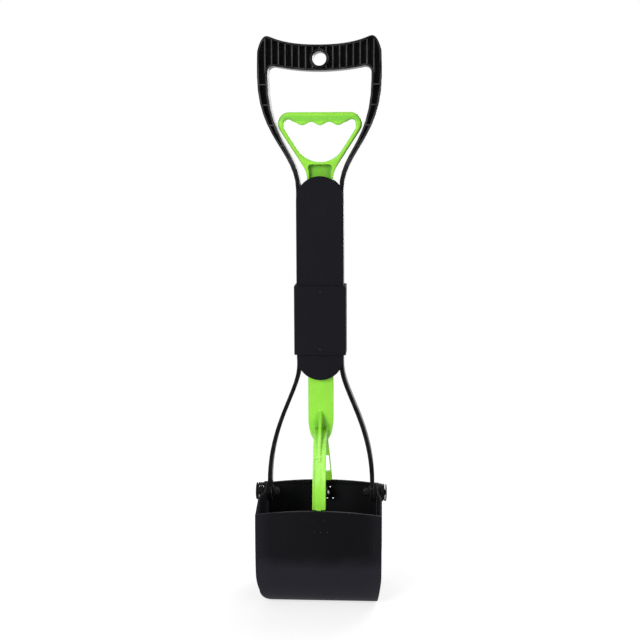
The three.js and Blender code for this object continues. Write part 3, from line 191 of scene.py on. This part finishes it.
class Finish:
    """A node tree that is filled one node at a time. Sizes, places and reaches are in millimetres."""

    def __init__(self, tree):
        self.tree = tree
        self.tree.nodes.clear()

    def node(self, kind, settings=None, inputs=None, output=0):
        """Adds a node, with its settings first and then its sockets' values or links."""
        made = self.tree.nodes.new(kind)
        for name, value in (settings or {}).items():
            setattr(made, name, value)
        for key, value in (inputs or {}).items():
            if isinstance(value, Value):
                self.tree.links.new(value.socket, made.inputs[key])
            else:
                made.inputs[key].default_value = value
        return Value(self, made.outputs[output]) if made.outputs else None

    def place(self, stretch):
        """Object coordinates in millimetres, times the stretch along X, Y and Z."""
        spot = self.node("ShaderNodeTexCoord", output="Object")
        per_mm = tuple(1 / MM * share for share in stretch)
        return self.node("ShaderNodeMapping", None, {"Vector": spot, "Scale": per_mm})

    def noise(self, size, detail=2.0, stretch=EVEN, roughness=0.5):
        """Noise with features of about the size."""
        return self.node(
            "ShaderNodeTexNoise",
            None,
            {"Vector": self.place(stretch), "Scale": 1 / size, "Detail": detail, "Roughness": roughness},
        )

    def cells(self, size):
        """Cells of about the size, dark in their middles."""
        return self.node(
            "ShaderNodeTexVoronoi", {"feature": "F1"}, {"Vector": self.place(EVEN), "Scale": 1 / size})

    def colour(self, share, first, second):
        """The first colour where the share is 0, the second where it is 1."""
        inputs = {MIX_SHARE: share, MIX_FIRST: first, MIX_SECOND: second}
        return self.node("ShaderNodeMix", {"data_type": "RGBA"}, inputs, MIX_RESULT)

    def along(self, axis):
        """The place along X, Y or Z."""
        spot = self.node("ShaderNodeTexCoord", output="Object")
        return self.node("ShaderNodeSeparateXYZ", None, {"Vector": spot}, axis) * (1 / MM)

    def uneven_along(self, axis, reach, size, detail=2.0, stretch=EVEN):
        """The place along X, Y or Z, shifted to and fro by noise with the reach."""
        return self.along(axis) + (self.noise(size, detail, stretch) - 0.5) * reach

    def facing(self, axis):
        """How far the surface faces along X, Y or Z, from -1 to 1."""
        plain = self.node("ShaderNodeNewGeometry", output="Normal")
        return self.node("ShaderNodeSeparateXYZ", None, {"Vector": plain}, axis)

    def rounded(self, radius):
        """The surface's direction with its edges rounded to the radius."""
        return self.node("ShaderNodeBevel", {"samples": 4}, {"Radius": radius * MM})

    def edge(self, radius):
        """About 1 on edges sharper than the radius, 0 on open faces."""
        plain = self.node("ShaderNodeNewGeometry", output="Normal")
        both = {0: self.rounded(radius), 1: plain}
        alike = self.node("ShaderNodeVectorMath", {"operation": "DOT_PRODUCT"}, both, "Value")
        return (1 - alike).above(0.01, 0.22)

    def sunk(self, reach):
        """About 1 down in pockets and corners, 0 on open faces."""
        settings = {"samples": 8, "only_local": True}
        open_share = self.node("ShaderNodeAmbientOcclusion", settings, {"Distance": reach * MM}, "AO")
        return (1 - open_share).above(0.12, 0.62)

    def relief(self, height, depth, strength, direction=None):
        """The surface's direction with a fine relief on it, on top of another direction if one is given."""
        inputs = {"Strength": strength, "Distance": depth * MM, "Height": height}
        if direction:
            inputs["Normal"] = direction
        return self.node("ShaderNodeBump", None, inputs)

    def surface(self, shader):
        self.node("ShaderNodeOutputMaterial", None, {"Surface": shader})


def material(name):
    made = bpy.data.materials.new(name)
    made.use_nodes = True
    return made, Finish(made.node_tree)


def shade(colour, by):
    """The colour made darker or lighter."""
    return tuple(part * by for part in colour) + (1.0,)


def grey(level):
    return (level, level, level, 1.0)


def moulded_plastic(name, colour, painted_shade, wear_and_highlight, rough, specular, grain_size, grain_depth,
                    scuffs, rubbing_and_highlight, edge_reach=0.9, rubbed_and_lit_above=0.0, pocket_reach=7.0, extra=None):
    """Injection-moulded plastic: spark-eroded grain, mould flow marks, edges paler from wear and painted
    highlight, fine scuffs, painted shade in hollows.

    The shade colour is painted shade down in pockets and corners; the wear colour is that of scuffs, and of
    edges made paler partly by wear and partly as a painted highlight.
    Edges are made paler only above the given height.
    extra takes the finish and the tone and returns a new tone.
    """
    made, finish = material(name)
    cloud = finish.noise(size=34.0, detail=3.0)
    flow = finish.noise(size=6.0, detail=4.0, stretch=(1.0, 1.0, 0.12))
    grain = finish.noise(size=grain_size, roughness=0.6)
    pits = finish.cells(grain_size * 1.7)
    hairs = finish.noise(size=0.9, detail=1.0, stretch=(1.0, 1.0, 0.03))
    scuffed = hairs.above(0.66, 0.72) * cloud.above(0.45, 0.7)
    # Edges are made paler: partly wear, partly a painted highlight where light would catch them.
    rubbed_and_highlit = finish.edge(edge_reach) * finish.noise(size=9.0).above(0.3, 0.7)
    rubbed_and_highlit = rubbed_and_highlit * finish.along("Z").above(rubbed_and_lit_above - 1.0, rubbed_and_lit_above)

    tone = finish.colour(cloud.above(0.25, 0.75), shade(colour, 0.93), shade(colour, 1.07))
    tone = finish.colour(flow.above(0.35, 0.8) * 0.35, tone, shade(colour, 1.16))
    if extra:
        tone = extra(finish, tone)
    # Painted shade: the tone darkens to the shade colour in pockets and corners.
    tone = finish.colour(finish.sunk(pocket_reach), tone, painted_shade + (1.0,))
    tone = finish.colour(scuffed * scuffs, tone, wear_and_highlight + (1.0,))
    tone = finish.colour(rubbed_and_highlit * rubbing_and_highlight, tone, wear_and_highlight + (1.0,))
    roughness = rough + (cloud - 0.5) * 0.1 + (grain - 0.5) * 0.1 - rubbed_and_highlit * 0.08 + scuffed * scuffs * 0.12
    height = grain * 0.7 + pits * 0.3 - scuffed * scuffs * 0.8
    finish.surface(finish.node("ShaderNodeBsdfPrincipled", None, {
        "Base Color": tone,
        "Roughness": roughness,
        "Specular IOR Level": specular,
        "Normal": finish.relief(height, grain_depth, strength=0.55, direction=finish.rounded(0.5)),
    }))
    return made


def painted_handle_highlights(finish, tone):
    """Painted highlights: the black grip's rib crests, and the front and back rims of the rails beside it,
    are painted lighter, in patches.
    """
    depth = finish.along("Y").away_from(0.0)
    height = finish.along("Z")
    crest = 1 - depth.away_from(HANDLE_HALF_DEPTH - RIB_SETBACK).above(*CREST_SPAN)
    on_grip = height.above(GRIP_BOTTOM - 1, GRIP_BOTTOM + 1)
    patchy = 0.55 + finish.noise(size=8.0).above(0.35, 0.65) * 0.45
    # Painted highlight on the grip's rib crests.
    tone = finish.colour(crest * on_grip * patchy, tone, PAINTED_RIB_HIGHLIGHT)
    # Painted highlight on the rails' front and back rims beside the grip.
    facing = finish.facing("Y").away_from(0.0).above(0.8, 0.97)
    rim = facing * depth.above(*RIM_DEPTH_SPAN) * height.above(*RIM_HEIGHT_SPAN) * (1 - on_grip)
    return finish.colour(rim * patchy, tone, PAINTED_RIM_HIGHLIGHT)


def jaw_painted_light(finish, tone):
    """Painted light on the jaws: lighter and bluer towards the ground as a painted floor reflection,
    lighter at the cheeks and towards the left as painted key light, one even tone painted lighter on the
    shaded inner walls, and a painted contact shadow at the lips.
    """
    # Painted reflection and light: lighter and bluer towards the ground, at the cheeks and towards the
    # left.
    height = finish.uneven_along("Z", reach=14.0, size=18.0, detail=3.0)
    low = (1 - height.above(*PAINTED_LIGHT_MIDDLE_SPAN)) * 0.72 + (1 - height.above(*PAINTED_LIGHT_FOOT_SPAN)) * 0.28
    across = finish.along("X")
    cheeks = across.away_from(0.0).above(*PAINTED_LIGHT_CHEEK_SPAN) * 0.3
    side = cheeks + (1 - across.above(*PAINTED_LIGHT_ACROSS_SPAN)) * 0.12
    painted_light_share = low + side - low * side
    tone = finish.colour(painted_light_share, tone, PAINTED_JAW_LIGHT)
    # Painted light: the shaded inner walls get one even tone, lighter than the outside's own colour.
    outward = finish.facing("Y") * finish.along("Y")
    tone = finish.colour(1 - outward.above(*INSIDE_SPAN), tone, PAINTED_LIGHT_INSIDE)
    # Painted shadow: darker at the lips, along the bottom.
    lip = 1 - finish.uneven_along("Z", reach=2.0, size=12.0).above(*LIP_SPAN)
    return finish.colour(lip, tone, PAINTED_LIP_SHADOW)


def painted_green_shade(finish, tone):
    """Painted shade: a darker green band along the finger ring's top bar, and darker green in the neck's
    pocket.
    """
    height = finish.uneven_along("Z", reach=2.4, size=9.0, stretch=(0.6, 1.0, 1.0))
    # Painted shade along the ring's top bar.
    band = 1 - height.away_from(RING_BAND).above(*BAND_SPAN)
    tone = finish.colour(band, tone, PAINTED_BAND_SHADE)
    # Painted shade in the neck's pocket.
    narrow = 1 - finish.along("X").away_from(0.0).above(*POCKET_SIDE_SPAN)
    sunk = 1 - finish.along("Y").away_from(0.0).above(*POCKET_DEPTH_SPAN)
    below = 1 - finish.along("Z").above(*POCKET_TOP_SPAN)
    return finish.colour(narrow * sunk * below, tone, PAINTED_POCKET_SHADE)


def painted_leg_highlight(finish, tone):
    """Painted highlight: the fin and the upper part of the front leg are painted paler, in streaks along
    the leg.
    """
    height = finish.along("Z")
    streaks = finish.noise(size=2.4, detail=3.0, stretch=(1.0, 1.0, 0.1)).above(0.3, 0.62)
    # Painted highlight in streaks on the fin and the upper leg.
    rubbed_and_highlit = height.above(*STREAKS_START_SPAN) * (1 - height.above(*STREAKS_END_SPAN))
    return finish.colour(rubbed_and_highlit * (0.3 + streaks * 0.55), tone, PAINTED_STREAK_HIGHLIGHT)


def coated_steel(name, colour, rough):
    """Black-coated steel: slightly orange-peeled coat that has thinned on the edges from wear."""
    made, finish = material(name)
    peel = finish.noise(size=0.8)
    cloud = finish.noise(size=7.0, detail=3.0)
    bare = finish.edge(0.35) * finish.noise(size=0.7, detail=3.0).above(0.5, 0.72)
    tone = finish.colour(cloud.above(0.3, 0.7), shade(colour, 0.8), shade(colour, 1.25))
    tone = finish.colour(bare * 0.5, tone, BARE_STEEL)
    finish.surface(finish.node("ShaderNodeBsdfPrincipled", None, {
        "Base Color": tone,
        "Roughness": rough + (cloud - 0.5) * 0.16 - bare * 0.08,
        "Metallic": bare * 0.8,
        "Specular IOR Level": 0.12,
        "Normal": finish.relief(peel, 0.02, strength=0.5),
    }))
    return made


def zinc_steel(name, colour):
    """Zinc-plated steel: bright, with turning marks and dulled patches."""
    made, finish = material(name)
    marks = finish.noise(size=0.35, detail=3.0, stretch=(1.0, 0.25, 0.25))
    dull = finish.noise(size=3.0, detail=3.0).above(0.42, 0.68)
    finish.surface(finish.node("ShaderNodeBsdfPrincipled", None, {
        "Base Color": finish.colour(dull, shade(colour, 1.08), shade(colour, 0.72)),
        "Roughness": 0.24 + dull * 0.22 + (marks - 0.5) * 0.14,
        "Metallic": 1.0,
        "Normal": finish.relief(marks, 0.015, strength=0.4),
    }))
    return made


frame_black = moulded_plastic(
    "frame_black", colour=(0.0045, 0.0045, 0.005), painted_shade=(0.0014, 0.0014, 0.0015), wear_and_highlight=(0.09, 0.09, 0.092),
    rough=0.26, specular=0.045, grain_size=0.5, grain_depth=0.02,
    scuffs=0.15, rubbing_and_highlight=0.8, edge_reach=3.2, extra=painted_handle_highlights)
cover_black = moulded_plastic(
    "cover_black", colour=(0.0068, 0.0064, 0.009), painted_shade=(0.003, 0.003, 0.004), wear_and_highlight=(0.022, 0.022, 0.026),
    rough=0.55, specular=0.05, grain_size=0.42, grain_depth=0.05,
    scuffs=0.2, rubbing_and_highlight=0.35)
jaw_black = moulded_plastic(
    "jaw_black", colour=(0.0027, 0.0027, 0.0036), painted_shade=(0.0025, 0.0025, 0.0028), wear_and_highlight=(0.024, 0.024, 0.028),
    rough=0.5, specular=0.055, grain_size=0.45, grain_depth=0.04,
    scuffs=0.3, rubbing_and_highlight=0.5, rubbed_and_lit_above=JAW_RIM, pocket_reach=3.0, extra=jaw_painted_light)
lime_plastic = moulded_plastic(
    "lime_plastic", colour=(0.265, 0.66, 0.045), painted_shade=(0.12, 0.36, 0.02), wear_and_highlight=(0.4, 0.82, 0.14),
    rough=0.36, specular=0.25, grain_size=0.6, grain_depth=0.008,
    scuffs=0.1, rubbing_and_highlight=0.2, pocket_reach=12.0)
lime_grip = moulded_plastic(
    "lime_grip", colour=(0.265, 0.66, 0.045), painted_shade=(0.1, 0.33, 0.015), wear_and_highlight=(0.4, 0.82, 0.14),
    rough=0.36, specular=0.25, grain_size=0.6, grain_depth=0.008,
    scuffs=0.1, rubbing_and_highlight=0.12, pocket_reach=14.0, extra=painted_green_shade)
lime_bar = moulded_plastic(
    "lime_bar", colour=(0.265, 0.68, 0.045), painted_shade=(0.12, 0.38, 0.02), wear_and_highlight=(0.4, 0.82, 0.14),
    rough=0.36, specular=0.25, grain_size=0.6, grain_depth=0.008,
    scuffs=0.15, rubbing_and_highlight=0.2, pocket_reach=10.0, extra=painted_leg_highlight)
black_coat = coated_steel("black_coat", colour=(0.007, 0.007, 0.0075), rough=0.52)
bright_zinc = zinc_steel("bright_zinc", colour=(0.62, 0.62, 0.64))


# Pieces

def put_in_scene(name, data):
    made = bpy.data.objects.new(name, data)
    bpy.context.scene.collection.objects.link(made)
    return made


def final_mesh(piece):
    """The mesh of a draft with its modifiers or its section applied. The draft itself is removed."""
    mesh = bpy.data.meshes.new_from_object(piece.evaluated_get(bpy.context.evaluated_depsgraph_get()))
    bpy.data.objects.remove(piece)
    edit = bmesh.new()
    edit.from_mesh(mesh)
    return edit


def keep(mesh_edit, name, finish):
    """Turns a mesh being worked on into an object with its finish."""
    mesh = bpy.data.meshes.new(name)
    mesh_edit.to_mesh(mesh)
    mesh_edit.free()
    mesh.materials.append(finish)
    made = put_in_scene(name, mesh)
    return made


def smooth_sides(mesh_edit, crease):
    """Smooth shading, with crisp lines where faces meet at more than the crease angle."""
    for face in mesh_edit.faces:
        face.smooth = True
    for line in mesh_edit.edges:
        line.smooth = not (line.is_manifold and line.calc_face_angle() > math.radians(crease))


def even_normals(piece):
    even = piece.modifiers.new("even_normals", "WEIGHTED_NORMAL")
    even.keep_sharp = True
    even.weight = NORMAL_WEIGHT


def merged_copy(node):
    """A copy of a solid's mesh whose loose triangles are joined."""
    edit = bmesh.new()
    edit.from_mesh(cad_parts[node].data)
    bmesh.ops.remove_doubles(edit, verts=edit.verts, dist=SAME_POINT * MM)
    return edit


def rounded_copy(node, body, finish, edge, shortest=0.2):
    """A copy of a solid with its sharp edges rounded, as far as its shortest line leaves room for.

    Lines below the length shortest are closed up first, as they would hold the rounding back.
    """
    edit = merged_copy(node)
    bmesh.ops.dissolve_limit(
        edit, angle_limit=math.radians(FLAT_ANGLE), use_dissolve_boundaries=False,
        verts=edit.verts, edges=edit.edges)
    bmesh.ops.dissolve_degenerate(edit, dist=shortest * MM, edges=edit.edges)
    sharp = [
        line for line in edit.edges
        if line.is_manifold and line.calc_face_angle() > math.radians(SHARP_ANGLE)
    ]
    bmesh.ops.bevel(
        edit, geom=sharp, affect="EDGES", offset_type="OFFSET", offset=edge * MM, segments=ROUNDING_STEPS,
        profile=0.5, material=-1, clamp_overlap=True, loop_slide=True)
    smooth_sides(edit, ROUNDED_CREASE)
    piece = keep(edit, f"{node}_finished", finish)
    even_normals(piece)
    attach(piece, body)
    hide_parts(node)


def soften(mesh_edit, above, rounds):
    """Smooths the corners that lie above the height, round after round."""
    corners = [corner for corner in mesh_edit.verts if corner.co.z > above * MM]
    for _ in range(rounds):
        bmesh.ops.smooth_vert(
            mesh_edit, verts=corners, factor=0.5, use_axis_x=True, use_axis_y=True, use_axis_z=True)


def cast_copy(node, body, finish, grid, crisp_below=0.0, softer_above=None):
    """A copy of a solid with all its edges softly rounded, as on a glossy moulding.

    Below the height crisp_below the edges stay crisp, where the part has to clear its neighbour closely.
    Above the height softer_above the section is rounded far more, like a grip's.
    """
    mesh = bpy.data.meshes.new(node + "_draft")
    edit = merged_copy(node)
    edit.to_mesh(mesh)
    edit.free()
    draft = put_in_scene(node + "_draft", mesh)
    cast = draft.modifiers.new("cast", "REMESH")
    cast.mode = "VOXEL"
    cast.voxel_size = grid * MM
    edit = final_mesh(draft)
    soften(edit, crisp_below, CAST_ROUNDS)
    if softer_above is not None:
        soften(edit, softer_above, SOFTER_ROUNDS)
        soften(edit, softer_above - JOIN_HEIGHT, JOIN_ROUNDS)
    smooth_sides(edit, CAST_CREASE)
    piece = keep(edit, f"{node}_finished", finish)
    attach(piece, body)
    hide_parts(node)


BLACK, GREEN, DARK, BRIGHT = "black_plastic", "green_plastic", "dark_steel", "bright_steel"

cast_copy("pull_grip", "pull_rod", lime_grip, grid=0.5, softer_above=RING_BOTTOM)
cast_copy("pull_bar", "pull_rod", lime_bar, grid=0.45, crisp_below=LEG_FORK)
cast_copy("rear_leg", "pull_rod", lime_plastic, grid=0.4, crisp_below=LEG_FORK)

# Each solid with its body, finish, slot and the rounding of its edges in millimetres.
for node, body, finish, slot, edge in (
    ("upper_frame", "frame", frame_black, BLACK, 0.35),
    ("right_lower_rail", "frame", frame_black, BLACK, 0.5),
    ("left_lower_rail", "frame", frame_black, BLACK, 0.5),
    ("front_cover", "frame", cover_black, BLACK, 0.3),
    ("rear_cover", "frame", cover_black, BLACK, 0.3),
    ("front_band", "frame", cover_black, BLACK, 0.3),
    ("rear_band", "frame", cover_black, BLACK, 0.3),
    ("front_band_screw_upper", "frame", black_coat, DARK, 0.12),
    ("front_band_screw_lower", "frame", black_coat, DARK, 0.12),
    ("rear_band_screw_upper", "frame", black_coat, DARK, 0.12),
    ("rear_band_screw_lower", "frame", black_coat, DARK, 0.12),
    ("rod_screw_upper", "pull_rod", bright_zinc, BRIGHT, 0.12),
    ("rod_screw_lower", "pull_rod", bright_zinc, BRIGHT, 0.12),
    ("leg_screw_upper", "pull_rod", bright_zinc, BRIGHT, 0.12),
    ("leg_screw_lower", "pull_rod", bright_zinc, BRIGHT, 0.12),
    ("front_link_pin", "pull_rod", bright_zinc, BRIGHT, 0.15),
    ("rear_link_pin", "pull_rod", bright_zinc, BRIGHT, 0.15),
    ("front_pin_clip", "pull_rod", bright_zinc, BRIGHT, 0.12),
    ("rear_pin_clip", "pull_rod", bright_zinc, BRIGHT, 0.12),
    ("hinge_bolt_right", "frame", black_coat, DARK, 0.2),
    ("hinge_bolt_left", "frame", black_coat, DARK, 0.2),
    ("hinge_sleeve_right", "frame", black_coat, DARK, 0.15),
    ("hinge_sleeve_left", "frame", black_coat, DARK, 0.15),
    ("hinge_washer_right", "frame", black_coat, DARK, 0.12),
    ("hinge_washer_left", "frame", black_coat, DARK, 0.12),
    ("hinge_nut_right", "frame", black_coat, DARK, 0.2),
    ("hinge_nut_left", "frame", black_coat, DARK, 0.2),
):
    rounded_copy(node, body, finish, edge)

# Closing up the jaws' short lines would warp their broad walls, so nearly all of them are left.
for jaw in ("front_jaw", "rear_jaw"):
    rounded_copy(jaw, jaw, jaw_black, edge=0.35, shortest=SAME_POINT)


def spring_route():
    """Middle line of the right torsion spring: straight leg, round coils, tang into the bolt head."""
    route = []
    for step in range(LEG_STEPS):
        below = SPRING_LEG * (1 - step / LEG_STEPS)
        route.append(Vector((SPRING_START, -SPRING_RADIUS, HINGE_HEIGHT - below)))
    steps = round(STEPS_PER_TURN * SPRING_TURNS)
    for step in range(steps + 1):
        turn = step / steps * SPRING_TURNS
        angle = math.pi - math.tau * turn
        route.append(Vector((
            SPRING_START + SPRING_PITCH * turn,
            SPRING_RADIUS * math.cos(angle),
            HINGE_HEIGHT + SPRING_RADIUS * math.sin(angle),
        )))
    last = route.pop()
    route.append(last + Vector((0.0, WIRE_RADIUS, 0.0)))
    route.append(last + Vector((WIRE_RADIUS * TANG_BEND, WIRE_RADIUS * TANG_BEND, 0.0)))
    route.append(last + Vector((WIRE_RADIUS, 0.0, 0.0)))
    route.append(Vector((BOLT_HEAD_INSIDE + BOLT_FLANGE, last.y, last.z)))
    return route


def jaw_spring(name, node, side):
    """side is 1 for the right spring and -1 for the left one, which is turned half round."""
    path = bpy.data.curves.new(name, "CURVE")
    path.dimensions = "3D"
    path.bevel_depth = WIRE_RADIUS * MM
    path.bevel_resolution = 4
    path.use_fill_caps = True
    route = spring_route()
    line = path.splines.new("POLY")
    line.points.add(len(route) - 1)
    for index, (spot, point) in enumerate(zip(line.points, route)):
        spot.co = (side * point.x * MM, side * point.y * MM, point.z * MM, 1.0)
        in_coils = PLAIN_POINTS_FIRST < index < len(route) - PLAIN_POINTS_LAST
        spot.radius = COIL_SWELL if in_coils else 1.0
    draft = put_in_scene(name + "_route", path)
    bpy.context.view_layer.update()
    edit = final_mesh(draft)
    bmesh.ops.remove_doubles(edit, verts=edit.verts, dist=SAME_POINT * MM)
    bmesh.ops.recalc_face_normals(edit, faces=edit.faces)
    smooth_sides(edit, WIRE_CREASE)
    piece = keep(edit, name, black_coat)
    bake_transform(piece)
    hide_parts(node)


jaw_spring("right_spring_wire", "jaw_spring_right", 1)
jaw_spring("left_spring_wire", "jaw_spring_left", -1)


# Studio

def white_for_seen_rays(finish, dim, white):
    """The white shader for camera, mirror and clear rays, the dim one for light that falls on the scoop."""
    rays = finish.node("ShaderNodeLightPath", output="Is Camera Ray")
    mirror = finish.node("ShaderNodeLightPath", output="Is Glossy Ray")
    clear = finish.node("ShaderNodeLightPath", output="Is Transmission Ray")
    shares = {0: rays + mirror + clear, 1: dim, 2: white}
    return finish.node("ShaderNodeMixShader", None, shares)


def studio_air():
    world = bpy.data.worlds.new("studio_air")
    world.use_nodes = True
    bpy.context.scene.world = world
    finish = Finish(world.node_tree)
    dim = finish.node("ShaderNodeBackground", None, {"Color": WHITE, "Strength": AIR_LIGHT})
    white = finish.node("ShaderNodeBackground", None, {"Color": WHITE, "Strength": 1.0})
    finish.node("ShaderNodeOutputWorld", None, {"Surface": white_for_seen_rays(finish, dim, white)})


def pale_floor():
    """A floor that looks white away from the scoop and takes a pale shadow near it."""
    edit = bmesh.new()
    bmesh.ops.create_grid(edit, x_segments=2, y_segments=2, size=FLOOR_HALF_WIDTH)
    mesh = bpy.data.meshes.new("pale_floor")
    edit.to_mesh(mesh)
    edit.free()
    floor = put_in_scene("pale_floor", mesh)
    made, finish = material("pale_floor")
    mesh.materials.append(made)
    spot = finish.node("ShaderNodeTexCoord", output="Object")
    away = finish.node("ShaderNodeVectorMath", {"operation": "LENGTH"}, {0: spot}, "Value")
    far = away.above(FLOOR_FADE_START, FLOOR_FADE_END)
    matt = finish.node("ShaderNodeBsdfDiffuse", None, {"Color": grey(FLOOR_LIT_GREY)})
    soft = finish.node("ShaderNodeBsdfDiffuse", None, {"Color": grey(FLOOR_SEEN_GREY)})
    glow = finish.node("ShaderNodeEmission", None, {"Color": WHITE, "Strength": FLOOR_GLOW})
    near = finish.node("ShaderNodeAddShader", None, {0: soft, 1: glow})
    white = finish.node("ShaderNodeEmission", None, {"Color": WHITE, "Strength": 1.0})
    seen = finish.node("ShaderNodeMixShader", None, {0: far, 1: near, 2: white})
    finish.surface(white_for_seen_rays(finish, matt, seen))


def soft_box(name, spot, target, size, power):
    light = bpy.data.lights.new(name, "AREA")
    light.shape = "RECTANGLE"
    light.size, light.size_y = size
    light.energy = power
    made = put_in_scene(name, light)
    made.location = spot
    made.rotation_euler = (Vector(target) - Vector(spot)).to_track_quat("-Z", "Y").to_euler()


def camera():
    """The photograph's view: a little to the right, looking down a little, hardly rolled."""
    turn, down, roll = math.radians(VIEW_TURN), math.radians(VIEW_DOWN), math.radians(VIEW_ROLL)
    ahead = Vector((-math.sin(turn) * math.cos(down), math.cos(turn) * math.cos(down), -math.sin(down)))
    across = ahead.cross(Vector((0.0, 0.0, 1.0))).normalized()
    upward = across.cross(ahead)
    turned_across = across * math.cos(roll) - upward * math.sin(roll)
    turned_upward = across * math.sin(roll) + upward * math.cos(roll)
    basis = Matrix((turned_across, turned_upward, -ahead)).transposed().to_4x4()
    basis.translation = Vector((VIEW_AWAY * math.sin(turn), -VIEW_AWAY * math.cos(turn), VIEW_HEIGHT))
    lens = bpy.data.cameras.new("camera")
    lens.sensor_width = SENSOR_WIDTH
    lens.lens = LENS_LENGTH
    lens.shift_x = LENS_SHIFT
    lens.clip_start, lens.clip_end = 0.01, 30.0
    made = put_in_scene("camera", lens)
    made.matrix_world = basis
    bpy.context.scene.camera = made


studio_air()
pale_floor()

# Each light with its place, the place it points at, its size in metres and its power in watts.
for name, spot, target, size, power in (
    ("key_box", (-1.25, -2.05, 1.05), (0.0, 0.0, 0.3), (1.1, 1.1), 44.0),
    ("fill_box", (1.6, -1.5, 0.9), (0.0, 0.0, 0.25), (1.2, 1.2), 9.0),
    ("top_box", (0.2, 0.9, 1.8), (0.0, 0.0, 0.3), (1.4, 0.8), 8.0),
    ("back_box", (1.0, 2.0, 0.8), (0.0, 0.0, 0.3), (1.4, 1.2), 34.0),
):
    soft_box(name, spot, target, size, power)
camera()
bpy.context.scene.view_settings.view_transform = "Standard"
